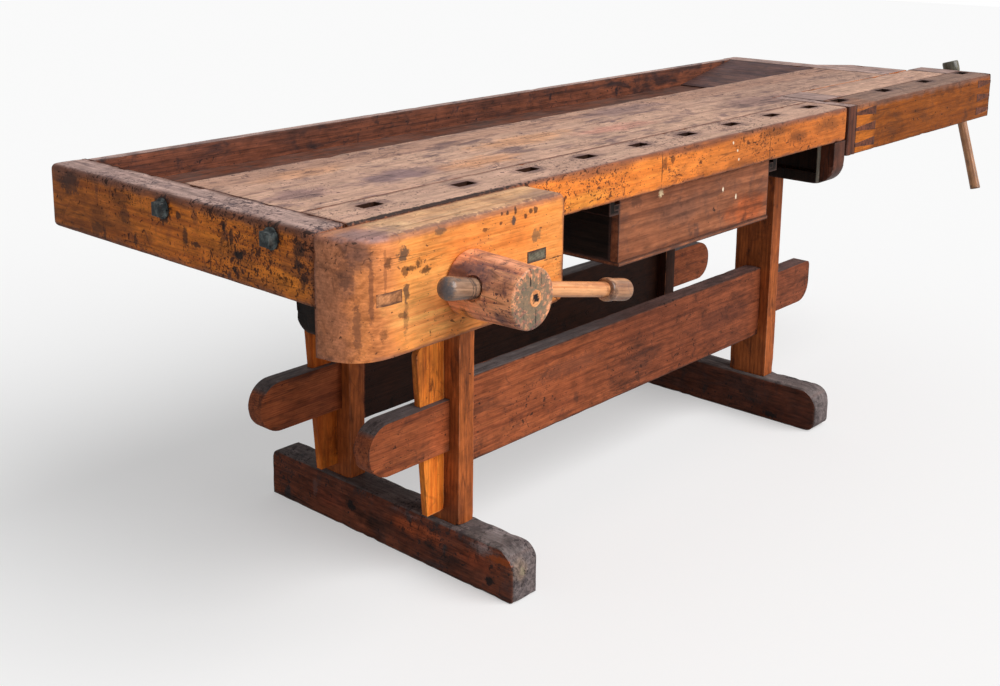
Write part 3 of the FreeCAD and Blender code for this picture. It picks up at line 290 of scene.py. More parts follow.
# each palette: dark, middle, light, stain
toneParts = ("dark", "mid", "light", "stain")
palettes = {
    "slab": ((144, 104, 90), (202, 160, 138), (216, 174, 148), (112, 88, 92)),
    "orange": ((164, 84, 32), (234, 128, 50), (244, 142, 60), (104, 60, 44)),
    "cap": ((124, 58, 26), (196, 104, 36), (228, 130, 44), (78, 50, 46)),
    "jaw": ((190, 100, 42), (238, 145, 68), (246, 162, 86), (128, 78, 54)),
    "jawTop": ((190, 122, 84), (250, 192, 134), (255, 208, 156), (146, 108, 98)),
    "worn": ((106, 80, 76), (168, 138, 130), (200, 166, 154), (88, 74, 80)),
    "ramp": ((54, 38, 38), (84, 62, 64), (110, 78, 70), (64, 54, 60)),
    "red": ((80, 36, 22), (140, 72, 42), (160, 86, 50), (60, 38, 32)),
    "dusty": ((66, 56, 54), (92, 82, 82), (118, 106, 104), (56, 50, 54)),
    "foot": ((58, 28, 20), (104, 54, 38), (128, 70, 48), (72, 58, 58)),
    "post": ((104, 50, 24), (154, 80, 38), (174, 94, 46), (78, 42, 30)),
    "golden": ((150, 68, 24), (226, 114, 38), (244, 142, 54), (112, 56, 30)),
    "drawer": ((92, 50, 34), (142, 84, 56), (162, 100, 68), (78, 54, 48)),
    "black": ((12, 8, 7), (25, 17, 13), (40, 27, 20), (12, 10, 10)),
    "tray": ((44, 26, 22), (90, 52, 40), (124, 70, 48), (42, 32, 34)),
    "hub": ((126, 68, 52), (236, 148, 106), (252, 174, 124), (106, 74, 80)),
    "bar": ((186, 108, 60), (228, 152, 98), (240, 174, 120), (162, 96, 60)),
    "knob": ((112, 76, 58), (180, 126, 92), (208, 156, 114), (100, 82, 80)),
    "dim": ((78, 60, 52), (130, 100, 82), (164, 128, 102), (78, 78, 82)),
    "grey": ((60, 60, 52), (104, 100, 84), (124, 118, 100), (52, 50, 44)),
    # tail: a darker orange for the tail vise, painted shade for the light falling off towards the right end
    "tail": ((76, 36, 14), (126, 62, 10), (152, 80, 18), (66, 40, 28)),
}
tones = {name: dict(zip(toneParts, colors)) for name, colors in palettes.items()}

plainWood = {
    "side": "red", "top": None, "end": None, "axis": "x", "turn": None, "topFrom": 0.55,
    "ringSize": 0.0045, "ring": 0.3, "streak": 0.5, "mottle": 1.0, "blotch": 0.5, "smudge": 0.4,
    "dents": 0.6, "scratch": 0.5, "crack": 0.6, "wearWidth": 0.006, "wear": (80, 58, 52),
    "dust": (120, 112, 108), "dustAmount": 0.1, "gloss": 0.5, "sheen": 0.14, "bump": 0.5,
    "inner": 0.0, "spots": [], "bands": [], "bandFacing": None, "fields": [],
}

grainAxes = {
    "x": ((1, 0, 0), (0, 1, 0), (0, 0, 1)),
    "y": ((0, 1, 0), (1, 0, 0), (0, 0, 1)),
    "z": ((0, 0, 1), (1, 0, 0), (0, 1, 0)),
}


# how a tint of a band or field is spread over the palette
tintStrength = {"dark": 0.62, "mid": 1.0, "light": 1.16, "stain": 0.5}
# colour of the painted shade on the upright walls inside the dog slots
recessShade = (34, 20, 15)


def regions(g, spot, normal, s):
    # bands: (axis, start, end, colour, share, softness)
    # fields: (place, radii, colour, share), both in millimetres
    ragged = g.less(g.noise(spot, 26.0, 4, 0.65), 0.5)
    corner = at(0, 0, 0)
    found = []
    for axis, start, end, tint, share, soft in s["bands"]:
        place = g.less(g.split(spot)[axis], corner[axis])
        place = g.add(place, g.times(ragged, min(soft * 3, 90) / 1000))
        rise = g.step(place, (start - soft) / 1000, (start + soft) / 1000)
        fall = g.less(1.0, g.step(place, (end - soft) / 1000, (end + soft) / 1000))
        inside = g.times(rise, fall)
        if s["bandFacing"]:
            inside = g.times(inside, g.step(g.along(normal, s["bandFacing"]), 0.3, 0.6))
        found.append((g.times(inside, share), tint))
    for place, radii, tint, share in s["fields"]:
        away = g.vector("SUBTRACT", spot, at(*place)).outputs[0]
        away = g.scaled(away, [1000 / r for r in radii])
        away = g.add(g.length(away), g.times(ragged, 1.6))
        found.append((g.times(g.less(1.0, g.step(away, 0.35, 1.15)), share), tint))
    return found


def woodPaint(name, low, high, **changes):
    s = {**plainWood, **changes}
    material = bpy.data.materials.new(name)
    material.use_nodes = True
    tree = material.node_tree
    g = Sheet(tree)
    shader = tree.nodes["Principled BSDF"]
    coords = g.node("ShaderNodeTexCoord", {}).outputs
    spot = coords["Object"]
    luck = random.Random(name)
    centre = (Vector(low) + Vector(high)) / 2
    half = (Vector(high) - Vector(low)) / 2
    local = g.vector("SUBTRACT", spot, centre).outputs[0]
    a, b, c = s["turn"] or grainAxes[s["axis"]]
    shift = [luck.uniform(-3, 3), luck.uniform(-0.05, 0.05), luck.uniform(-0.05, 0.05)]
    seat = g.join(g.along(local, a), g.along(local, b), g.along(local, c))
    seat = g.vector("ADD", seat, shift).outputs[0]

    # distance to the nearest edge of the board's box
    reach = g.split(g.vector("ABSOLUTE", local, (0, 0, 0)).outputs[0])
    gaps = [g.sum("ABSOLUTE", g.less(half[i], reach[i])) for i in range(3)]
    least = g.sum("MINIMUM", g.sum("MINIMUM", gaps[0], gaps[1]), gaps[2])
    greatest = g.most(g.most(gaps[0], gaps[1]), gaps[2])
    edge = g.less(g.less(g.add(g.add(gaps[0], gaps[1]), gaps[2]), least), greatest)

    normal = coords["Normal"]
    up = g.step(g.split(normal)[2], s["topFrom"], s["topFrom"] + 0.25)
    colors = {}
    for key in toneParts:
        color = shade(tones[s["side"]][key])
        if s["top"]:
            color = g.blend(up, color, shade(tones[s["top"]][key]))
        if s["end"]:
            facing = g.sum("ABSOLUTE", g.along(normal, a))
            color = g.blend(g.step(facing, 0.6, 0.8), color, shade(tones[s["end"]][key]))
        colors[key] = color
    for share, tint in regions(g, spot, normal, s):
        for key, strength in tintStrength.items():
            part = shade([min(255, t * strength) for t in tint])
            colors[key] = g.blend(share, colors[key], part)

    inputs = {
        "Place": seat, "Spot": g.vector("ADD", spot, [luck.uniform(-9, 9) for _ in range(3)]).outputs[0],
        "Edge": edge, "Wear": shade(s["wear"]), "Dust": shade(s["dust"]),
        "Dust Amount": g.times(g.add(g.times(up, 0.85), 0.15), s["dustAmount"]),
    }
    for key in toneParts:
        inputs[key.capitalize()] = colors[key]
    for name in woodInputs["Float"]:
        setting = name[0].lower() + name[1:].replace(" ", "")
        if name not in inputs:
            inputs[name] = s[setting]
    wood = g.node("ShaderNodeGroup", {}, node_tree=woodGroup)
    for key, value in inputs.items():
        if isinstance(value, bpy.types.NodeSocket):
            tree.links.new(value, wood.inputs[key])
        else:
            wood.inputs[key].default_value = value
    color = wood.outputs["Color"]

    # inner: upright faces this far inside the box are painted near black, painted shade in the dog slots
    if s["inner"]:
        sunk = g.step(g.sum("MINIMUM", gaps[0], gaps[1]), s["inner"], s["inner"] + 0.003)
        upright = g.less(1.0, g.step(g.sum("ABSOLUTE", g.split(normal)[2]), 0.5, 0.8))
        color = g.blend(g.times(g.times(sunk, upright), 0.93), color, shade(recessShade))

    # spots: (place, radii along x y z, colour, share)
    blur = g.noise(spot, 130.0, 4, 0.65)
    for place, radii, tint, share in s["spots"]:
        away = g.vector("SUBTRACT", spot, at(*place)).outputs[0]
        away = g.scaled(away, [1000 / r for r in radii])
        fray = g.times(g.less(blur, 0.5), 2.4)
        away = g.add(g.length(away), fray)
        color = g.blend(g.times(g.less(1.0, g.step(away, 0.6, 1.1)), share), color, shade(tint))

    tree.links.new(color, shader.inputs["Base Color"])
    tree.links.new(wood.outputs["Roughness"], shader.inputs["Roughness"])
    shader.inputs["Specular IOR Level"].default_value = s["sheen"]
    relief = {"Height": wood.outputs["Height"], "Strength": s["bump"], "Distance": 0.0012}
    bump = g.node("ShaderNodeBump", relief)
    tree.links.new(bump.outputs["Normal"], shader.inputs["Normal"])
    return material


iron = {"pit": (42, 48, 50), "rubbed": (118, 126, 124), "rust": (66, 46, 34), "metal": 0.5}


def ironPaint(name, s):
    material = bpy.data.materials.new(name)
    material.use_nodes = True
    tree = material.node_tree
    g = Sheet(tree)
    shader = tree.nodes["Principled BSDF"]
    spot = g.node("ShaderNodeTexCoord", {}).outputs["Object"]
    rust = g.noise(spot, 160.0, 4, 0.7)
    rubbed = g.noise(spot, 60.0, 3, 0.6)
    color = g.blend(g.step(rubbed, 0.4, 0.75), shade(s["pit"]), shade(s["rubbed"]))
    color = g.blend(g.step(rust, 0.56, 0.74), color, shade(s["rust"]))
    tree.links.new(color, shader.inputs["Base Color"])
    tree.links.new(g.add(g.times(rust, 0.3), 0.22), shader.inputs["Roughness"])
    shader.inputs["Metallic"].default_value = s["metal"]
    bump = g.node("ShaderNodeBump", {"Height": rust, "Strength": 0.5, "Distance": 0.001})
    tree.links.new(bump.outputs["Normal"], shader.inputs["Normal"])
    return material


print("finishes ready")


# worn copies of the boards: eased edges, fine cuts, uneven faces and small chips

def cutAcross(shape, axis, level):
    point = Vector((0, 0, 0))
    point[axis] = level
    direction = Vector((0, 0, 0))
    direction[axis] = 1
    everything = list(shape.verts) + list(shape.edges) + list(shape.faces)
    bmesh.ops.bisect_plane(shape, geom=everything, plane_co=point, plane_no=direction, dist=1e-6)


def cutGrid(shape, low, high, cell):
    for axis in range(3):
        span = high[axis] - low[axis]
        count = int(span / cell[axis])
        for i in range(1, count):
            cutAcross(shape, axis, low[axis] + span * i / count)


def edgeGap(point, low, high):
    gaps = sorted(min(abs(point[i] - low[i]), abs(point[i] - high[i])) for i in range(3))
    return gaps[1]


def finish(shape, name, body, stands, paint, angle=32):
    shape.normal_update()
    mesh = bpy.data.meshes.new(name)
    shape.to_mesh(mesh)
    shape.free()
    for polygon in mesh.polygons:
        polygon.use_smooth = True
    mesh.set_sharp_from_angle(angle=math.radians(angle))
    mesh.materials.append(paint)
    piece = bpy.data.objects.new(name, mesh)
    scene.collection.objects.link(piece)
    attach(piece, body)
    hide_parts(*stands)
    return piece


def isInside(edge, low, high):
    middle = (edge.verts[0].co + edge.verts[1].co) / 2
    return min(middle.x - low[0], high[0] - middle.x, middle.y - low[1], high[1] - middle.y) > 0.014


def rimEdges(shape, low, high):
    # top edges that lie well inside the outline: the rims of the dog slots
    rims = []
    for e in shape.edges:
        level = all(abs(v.co.z - high[2]) < 1e-4 for v in e.verts)
        if level and isInside(e, low, high) and e.calc_length() < 0.06 and e.is_convex:
            rims.append(e)
    return rims


def cutBeside(shape, low, high, reach, faces):
    # extra cuts close to the sides whose edges are to be rounded
    for axis, way in faces:
        for share in (0.12, 0.36, 0.66, 1.0):
            level = low[axis] + reach * share if way < 0 else high[axis] - reach * share
            cutAcross(shape, axis, level)


def pullRound(point, low, high, reach, faces):
    # brings a point beyond the rounding back onto it
    pulls = []
    for axis, way in faces:
        gap = point[axis] - low[axis] if way < 0 else high[axis] - point[axis]
        if gap < reach:
            pulls.append((axis, way, reach - gap))
    away = math.hypot(*[pull for axis, way, pull in pulls])
    if away > reach:
        for axis, way, pull in pulls:
            point[axis] -= way * pull * (1 - reach / away)


# sizes in millimetres; faces are the sides whose shared edges are rounded to reach
plainShape = {"cell": (26, 26, 26), "ease": 2.0, "wave": 0.7, "chips": 10, "chipDepth": 3.0,
              "chipSize": 12, "rim": 0, "reach": 0, "faces": ()}
wear = {"sharpFrom": 35, "shortest": 0.006, "chipBand": 0.003, "edgeBand": 0.016, "swell": 9, "ripple": 46}


def easeEdges(shape, edges, offset, segments, profile):
    bmesh.ops.bevel(shape, geom=edges, offset=offset / 1000, segments=segments, profile=profile,
                    affect="EDGES", clamp_overlap=True)


def wornDepth(point, low, high, s, seed, nicks):
    # how deep a point sinks: wide swells, ripples that grow to the edges, and chips
    gap = edgeGap(point, low, high)
    nearness = max(0.0, 1 - gap / wear["edgeBand"])
    swell = 0.5 + 0.5 * noise.noise(point * wear["swell"] + seed)
    ripple = 0.5 + 0.5 * noise.noise(point * wear["ripple"] + seed)
    depth = s["wave"] * (0.35 * swell + (0.25 + 0.9 * nearness) * ripple)
    for centre, reach, share in nicks:
        away = (point - centre).length
        if away < reach:
            depth += s["chipDepth"] * share * (1 - away / reach) ** 0.7
    return depth / 1000


def worn(name, paint, **changes):
    s = {**plainShape, **changes}
    item = nodes[name]
    low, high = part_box(name)
    shape = bmesh.new()
    shape.from_mesh(item.data)
    bmesh.ops.remove_doubles(shape, verts=shape.verts, dist=1e-5)
    bmesh.ops.dissolve_limit(shape, angle_limit=math.radians(0.5), verts=shape.verts, edges=shape.edges)
    if s["rim"]:
        easeEdges(shape, rimEdges(shape, low, high), s["rim"], 4, 0.5)
    edges = [e for e in shape.edges if len(e.link_faces) == 2 and e.is_convex
             and e.calc_face_angle(0) > math.radians(wear["sharpFrom"])
             and e.calc_length() > wear["shortest"]
             and not (s["rim"] and isInside(e, low, high))]
    easeEdges(shape, edges, s["ease"], 2, 0.6)
    cutGrid(shape, low, high, [c / 1000 for c in s["cell"]])
    if s["reach"]:
        cutBeside(shape, low, high, s["reach"] / 1000, s["faces"])
        for v in shape.verts:
            pullRound(v.co, low, high, s["reach"] / 1000, s["faces"])
    luck = random.Random(name + ".wear")
    seed = Vector([luck.uniform(-50, 50) for _ in range(3)])
    near = [v.co.copy() for v in shape.verts if edgeGap(v.co, low, high) < wear["chipBand"]]
    nicks = [(luck.choice(near), luck.uniform(0.5, 1.0) * s["chipSize"] / 1000, luck.uniform(0.3, 1.0))
             for _ in range(s["chips"] if near else 0)]
    shape.normal_update()
    moves = [v.normal * -wornDepth(v.co, low, high, s, seed, nicks) for v in shape.verts]
    for v, move in zip(list(shape.verts), moves):
        v.co += move
        for axis in range(3):
            v.co[axis] = min(max(v.co[axis], low[axis]), high[axis])
    return finish(shape, name + ".worn", item["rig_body"], [name], paint)


def boardPaint(name, **changes):
    low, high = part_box(name)
    return woodPaint(name + ".wood", low, high, **changes)


def marks(axis, level, depth, rows):
    # spots on one face; each row: across, up, half width, half height, colour, share
    made = []
    for across, up, wide, tall, tint, share in rows:
        place = [across, up]
        radii = [wide, tall]
        place.insert(axis, level)
        radii.insert(axis, depth)
        made.append((place, radii, tint, share))
    return made


# the sides of a board, as axis and way
leftSide = (0, -1)
rightSide = (0, 1)
frontSide = (1, -1)
backSide = (1, 1)
underside = (2, -1)
topSide = (2, 1)

ink = (40, 34, 34)
brown = (62, 40, 30)
chalk = (236, 214, 186)

dogPlaces = [178] + [399 + 170.3 * i for i in range(8)]  # middles of the dog slots

# one dictionary per board: what differs from plainWood in its looks and from plainShape in its form;
# a plain board keeps the form of its node
boards = {
    "dog_strip": {
        "side": "orange", "top": "slab", "axis": "x", "dents": 1.5, "wearWidth": 0.013,
        "wear": (120, 80, 68), "gloss": 0.55, "ring": 0.1, "blotch": 0.28, "mottle": 0.65,
        "streak": 0.16, "smudge": 0.35, "inner": 0.004, "bandFacing": (0, -1, 0), "cell": (12, 24, 16),
        "chips": 60, "wave": 0.8, "ease": 1.5, "chipDepth": 1.8, "rim": 6, "reach": 5,
        "faces": [frontSide, topSide, underside],
        # the first band darkens the right half: partly the wood's own darker patches, partly painted shade
        # for the light falling off to the right
        "bands": [(0, 1060, 1780, (138, 72, 34), 0.5, 160), (2, 819, 840, (124, 80, 62), 0.6, 5)],
        "spots": marks(1, 0, 3, [
            (1151, 810, 3, 4, chalk, 1), (1170, 792, 3, 3, chalk, 1), (1176, 772, 3, 4, chalk, 0.9)])
        + marks(1, 0, 4, [
            (894, 792, 1.5, 46, brown, 0.9), (903, 800, 9, 16, brown, 0.6),
            (1302, 782, 1.5, 40, brown, 0.8)])
        + [((240, 2, 830), (290, 6, 9), ink, 0.9), ((930, 0, 806), (7, 4, 9), brown, 0.7)],
        "fields": marks(1, 0, 9, [
            (1180, 760, 60, 16, brown, 0.45), (1420, 790, 46, 16, brown, 0.55),
            (1330, 812, 70, 12, brown, 0.5), (1560, 800, 60, 20, brown, 0.45),
            (700, 816, 110, 10, (100, 66, 56), 0.6), (1000, 818, 140, 9, (104, 66, 54), 0.6),
            (650, 770, 80, 20, (250, 150, 62), 0.6)])
        + [((x, 69, 830), (46, 32, 9), (106, 78, 78), 0.8) for x in dogPlaces],
    },
    "top_plank": {
        "side": "cap", "top": "slab", "axis": "x", "dents": 1.2, "scratch": 0.8, "gloss": 0.45,
        "ring": 0.16, "ringSize": 0.009, "mottle": 0.8, "blotch": 0.75, "smudge": 0.8, "streak": 0.35,
        "cell": (30, 26, 40), "chips": 20, "wave": 0.8,
        # the first band greys and darkens the right end: partly the top's own darker wear, partly painted
        # shade for the light falling off to the right
        "bands": [(0, 1500, 2600, (136, 106, 96), 0.35, 240), (1, 330, 420, (150, 104, 84), 0.4, 30)],
        "fields": marks(2, 830, 9, [
            (372, 197, 130, 50, (120, 96, 102), 0.8), (146, 210, 80, 46, (128, 98, 100), 0.7),
            (781, 269, 170, 46, (222, 158, 112), 0.6), (559, 180, 120, 44, (216, 150, 104), 0.6),
            (1233, 353, 180, 50, (128, 104, 106), 0.6), (1591, 201, 200, 64, (124, 94, 92), 0.65),
            (1028, 220, 160, 40, (186, 128, 112), 0.7), (260, 330, 120, 40, (214, 152, 110), 0.5)]),
    },
    "left_end_cap": {
        "side": "cap", "top": "worn", "axis": "y", "dents": 1.7, "scratch": 0.9, "wearWidth": 0.019,
        "wear": (112, 76, 64), "smudge": 0.75, "ring": 0.08, "streak": 0.22, "bandFacing": (-1, 0, 0),
        "cell": (18, 12, 16), "chips": 40, "wave": 0.9, "ease": 1.5, "chipDepth": 2.4, "reach": 11,
        "faces": [leftSide, frontSide, backSide, topSide, underside],
        "bands": [(1, 470, 760, (96, 48, 26), 0.4, 80), (2, 816, 840, (104, 70, 62), 0.7, 7)],
        # the three wide spots at the bolt nuts (Y 96, 380 and 671) are painted shadow round the nuts
        "spots": [
            ((0, 96, 803), (24, 27, 27), ink, 0.9), ((0, 380, 801), (24, 25, 28), ink, 0.85),
            ((0, 671, 804), (20, 34, 24), (66, 46, 42), 0.7), ((0, 33, 797), (12, 13, 17), ink, 0.7),
            ((0, 586, 732), (9, 26, 14), (70, 46, 34), 0.6), ((0, 497, 772), (9, 17, 15), ink, 0.6)]
        + marks(0, 0, 8, [
            (197, 787, 6, 18, ink, 0.8), (177, 760, 13, 10, ink, 0.95), (320, 767, 7, 20, ink, 0.75),
            (292, 756, 14, 6, ink, 0.8), (36, 774, 9, 10, ink, 0.8), (215, 800, 6, 10, ink, 0.7),
            (466, 733, 6, 13, ink, 0.7), (23, 746, 6, 11, ink, 0.7), (338, 798, 8, 7, ink, 0.8),
            (136, 808, 5, 10, ink, 0.7), (192, 735, 6, 6, ink, 0.9)])
        + [
            ((0, 253, 733), (4, 1.5, 20), ink, 0.8), ((0, 562, 726), (8, 5, 14), ink, 0.7),
            ((0, 22, 709), (8, 14, 4), chalk, 0.9)],
        "fields": marks(0, 0, 9, [
            (60, 742, 60, 26, (226, 128, 42), 0.8), (250, 770, 80, 22, (232, 130, 42), 0.7),
            (430, 800, 60, 20, (214, 124, 44), 0.5)])
        + [
            ((0, 20, 800), (12, 30, 30), (110, 64, 48), 0.7),
            ((0, 690, 810), (12, 60, 20), (92, 60, 50), 0.7)],
    },
    "right_end_cap": {
        "side": "cap", "top": "worn", "axis": "y", "dents": 0.8, "smudge": 0.7, "cell": (26, 24, 26),
        "chips": 16, "ease": 4.0,
    },
    "face_jaw": {
        "side": "jaw", "top": "jawTop", "axis": "x", "dents": 1.1, "wearWidth": 0.01,
        "wear": (132, 88, 72), "gloss": 0.6, "ring": 0.14, "blotch": 0.2, "smudge": 0.35, "mottle": 0.7,
        "streak": 0.4, "topFrom": 0.6, "sheen": 0.16, "cell": (14, 16, 14), "chips": 24, "wave": 0.9,
        "ease": 3.0, "chipDepth": 1.6, "reach": 9, "faces": [leftSide, frontSide, topSide],
        # the first two bands darken the rounded left end: partly stain, partly painted shade where the face
        # turns away from the light
        "bands": [
            (0, -30, 26, (162, 106, 82), 0.85, 12), (0, 18, 90, (200, 122, 76), 0.75, 26),
            (2, 815, 826, (150, 98, 78), 0.7, 5)],
        "fields": [
            # the first field lifts the face below and left of the hub: a painted pool of light over the
            # hub's shadow
            ((160, -86, 700), (120, 9, 60), (255, 164, 92), 0.8),
            ((20, -70, 800), (34, 30, 30), (92, 66, 62), 0.8),
            ((60, -60, 826), (70, 46, 9), (142, 112, 110), 0.85),
            ((430, -60, 826), (50, 30, 9), (150, 116, 104), 0.6),
            ((360, -86, 770), (60, 9, 40), (226, 122, 48), 0.5)],
        "spots": [((103, -86, 793), (13, 9, 13), (74, 66, 60), 0.85)]
        + marks(1, -86, 8, [
            (105, 766, 9, 9, ink, 0.7), (121, 767, 13, 5, ink, 0.75), (134, 773, 8, 9, ink, 0.75),
            (148, 758, 12, 7, ink, 0.8), (182, 814, 13, 8, (86, 74, 64), 0.7),
            (352, 799, 8, 8, (70, 66, 66), 0.9), (357, 816, 4, 8, ink, 0.8), (395, 808, 6, 5, ink, 0.8),
            (408, 808, 6, 6, ink, 0.8), (382, 802, 5, 5, ink, 0.8), (323, 816, 4, 4, ink, 0.8),
            (337, 815, 4, 4, ink, 0.8), (320, 800, 4, 4, ink, 0.8), (283, 796, 6, 4, brown, 0.7)])
        + [
            ((72, -86, 784), (9, 9, 9), brown, 0.7), ((409, -86, 763), (12, 8, 14), (104, 88, 66), 0.7),
            ((108, -86, 733), (6, 10, 18), (76, 62, 54), 0.8),
            ((107, -86, 694), (6, 10, 28), (112, 78, 56), 0.5), ((102, -86, 698), (10, 8, 6), ink, 0.6),
            ((63, -86, 675), (7, 10, 14), brown, 0.5), ((460, -86, 717), (30, 6, 1.2), brown, 0.9),
            ((14, -60, 770), (10, 20, 34), (84, 58, 52), 0.55),
            ((44, -78, 740), (4, 20, 60), (104, 64, 50), 0.6),
            ((66, -84, 770), (3, 16, 50), (128, 76, 50), 0.5),
            ((26, -70, 690), (5, 20, 50), (110, 70, 54), 0.6),
            ((200, -80, 826), (190, 6, 5), (122, 88, 80), 0.7),
            ((440, -78, 825), (50, 8, 7), (112, 80, 74), 0.7)],
    },
    "rear_rail": {
        "side": "tray", "top": "worn", "axis": "x", "smudge": 0.9, "dents": 1.0, "blotch": 0.8,
        "ring": 0.2, "cell": (20, 14, 22), "chips": 30, "ease": 3.0, "chipDepth": 1.6,
    },
    "tray_bottom": {"side": "tray", "top": "tray", "axis": "x", "dustAmount": 0.25, "plain": True},
    "tray_ramp": {"side": "ramp", "axis": "y", "smudge": 0.8, "chips": 8},
    "left_foot": {
        "side": "foot", "top": "dusty", "end": "dusty", "axis": "y", "wear": (92, 78, 72),
        "gloss": 0.35, "smudge": 1.0, "dustAmount": 0.4, "dents": 1.5, "mottle": 1.5, "blotch": 0.8,
        "crack": 0.8, "streak": 0.15, "ring": 0.1, "cell": (18, 16, 16), "chips": 36, "wave": 1.6,
        "chipSize": 16, "chipDepth": 2.4, "reach": 9, "faces": [leftSide, rightSide, frontSide, topSide],
        "fields": marks(0, 508, 9, [
            (300, 66, 90, 20, (168, 80, 42), 0.7), (130, 56, 60, 22, (146, 68, 38), 0.7),
            (560, 50, 60, 26, (134, 64, 42), 0.6), (420, 40, 70, 22, (52, 32, 26), 0.7),
            (200, 30, 50, 20, (60, 36, 30), 0.6)])
        + [
            ((550, 120, 90), (60, 60, 20), (150, 140, 140), 0.8),
            ((550, 330, 92), (60, 60, 9), (132, 124, 128), 0.6),
            ((530, 37, 70), (24, 20, 40), (126, 104, 86), 0.6)],
        "spots": [((508, 492, 54), (10, 16, 12), ink, 0.95), ((508, 98, 29), (10, 13, 11), ink, 0.95)]
        + marks(0, 508, 8, [
            (188, 40, 16, 7, ink, 0.6), (256, 48, 20, 8, ink, 0.6), (605, 57, 9, 22, (120, 92, 88), 0.5)])
        + [
            ((536, 37, 62), (7, 8, 10), (150, 138, 112), 0.5),
            ((508, 74, 80), (10, 34, 9), (170, 82, 34), 0.7)],
    },
    "right_foot": {
        "side": "foot", "top": "dusty", "end": "dusty", "axis": "y", "wear": (84, 70, 66),
        "gloss": 0.35, "smudge": 1.0, "dustAmount": 0.4, "dents": 1.4, "mottle": 1.5, "crack": 0.8,
        "streak": 0.15, "ring": 0.1, "cell": (18, 16, 16), "chips": 36, "wave": 1.6, "chipSize": 16,
        "chipDepth": 2.4, "reach": 9, "faces": [leftSide, rightSide, frontSide, topSide],
        "bands": [(0, 1640, 1664, (40, 20, 16), 0.5, 4)],
        "spots": [((1660, 162, 14), (10, 22, 9), ink, 0.95)],
    },
    "front_stretcher": {
        "top": "dusty", "axis": "x", "dents": 1.0, "smudge": 0.6, "wear": (74, 52, 46), "ring": 0.18,
        "cell": (26, 14, 20), "chips": 30, "wave": 0.8, "ease": 2.5, "chipDepth": 1.6,
        "bands": [(0, 1040, 2300, (98, 50, 34), 0.55, 160)],
        "spots": marks(1, 219, 5, [
            (560, 250, 60, 20, (92, 60, 48), 0.4), (900, 330, 120, 22, (96, 58, 46), 0.4),
            (1156, 278, 90, 24, (84, 50, 40), 0.35), (1500, 300, 120, 30, (84, 46, 36), 0.4)]),
        "fields": [
            ((520, 219, 300), (70, 9, 50), (164, 82, 46), 0.5),
            ((470, 219, 250), (60, 30, 60), (158, 84, 50), 0.4)],
    },
    "rear_stretcher": {
        "top": "dusty", "axis": "x", "dents": 0.9, "smudge": 0.6, "wear": (60, 40, 34),
        "bandFacing": (0, -1, 0), "cell": (26, 14, 20), "chips": 30, "wave": 0.8, "ease": 2.5,
        "chipDepth": 1.6,
        # the band paints the front face between the posts almost black: painted shade under the bench
        "bands": [(0, 590, 1680, (17, 9, 6), 0.92, 4)],
    },
    "front_wedge": {
        "side": "golden", "axis": "z", "mottle": 0.7, "smudge": 0.7, "ring": 0.1, "streak": 0.2,
        "wearWidth": 0.003, "wear": (236, 158, 96), "cell": (12, 8, 20), "chips": 6, "ease": 1.5,
        "chipDepth": 1.2,
        "bands": [(2, 400, 480, (120, 58, 26), 0.3, 30)],
    },
    "rear_wedge": {
        "side": "golden", "axis": "z", "mottle": 0.7, "smudge": 0.7, "ring": 0.1, "streak": 0.2,
        "wearWidth": 0.003, "wear": (176, 96, 50), "cell": (12, 8, 20), "chips": 6, "ease": 1.5,
        "chipDepth": 1.2,
        "bands": [(2, 150, 480, (136, 60, 22), 0.6, 30)],
    },
    "left_bearer": {
        "side": "tray", "axis": "y",
        "fields": [((545, 150, 700), (120, 220, 140), (56, 50, 60), 0.97)],
    },
    "right_bearer": {"side": "tray", "axis": "y"},
    "drawer_front": {
        "side": "drawer", "axis": "x", "ringSize": 0.024, "ring": 0.42, "streak": 0.3, "mottle": 0.8,
        "smudge": 0.6, "cell": (26, 8, 20), "ease": 1.5, "chipDepth": 1.2,
        "spots": marks(1, 20, 4, [
            (1205, 684, 3.5, 6, chalk, 1), (1152, 707, 3.5, 6, chalk, 1),
            (923, 737, 9, 10, (222, 196, 156), 0.95), (840, 736, 20, 16, ink, 0.4)]),
        "fields": [
            ((1250, 20, 650), (100, 9, 36), (166, 80, 38), 0.7),
            ((1000, 20, 690), (130, 9, 34), (104, 68, 54), 0.6)],
    },
    "tail_front_block": {
        "side": "tail", "top": "slab", "axis": "x", "dents": 0.9, "wear": (104, 70, 56), "inner": 0.004,
        "mottle": 0.7, "smudge": 0.6, "streak": 0.35, "ring": 0.15, "cell": (18, 22, 20), "chips": 20,
        "wave": 0.9, "ease": 1.5, "chipDepth": 1.8, "rim": 6, "reach": 4,
        "faces": [frontSide, topSide, underside],
        "bands": [(0, 1650, 1790, (200, 112, 34), 0.5, 14), (2, 818, 840, (112, 84, 74), 0.7, 8)],
        "fields": [((1735 + 238 * i, 69, 830), (46, 32, 9), (100, 76, 76), 0.8) for i in range(4)],
    },
    "tail_jaw_block": {"side": "tray", "top": "worn", "axis": "y", "plain": True},
    "tail_jaw_liner": {"side": "tray", "top": "worn", "axis": "z", "smudge": 0.8, "cell": (12, 22, 20)},
    "tail_end_board": {"side": "tray", "top": "worn", "axis": "y", "plain": True},
    "tail_top_plate": {
        "side": "cap", "top": "slab", "axis": "x", "smudge": 0.8, "cell": (26, 26, 12), "chips": 12,
    },
    "slab_end_block": {
        # the near-black side palette is painted shade on its left face under the top; the brown front band
        # gives the nose its colour
        "side": "black", "axis": "z", "gloss": 0.68, "cell": (10, 12, 14), "chips": 8, "ease": 3.0,
        "chipDepth": 1.4,
        "bands": [(1, -10, 36, (90, 52, 38), 0.85, 6), (1, 38, 46, (150, 150, 138), 0.8, 1.5)],
        # the pale spot along the rounded nose is a painted highlight
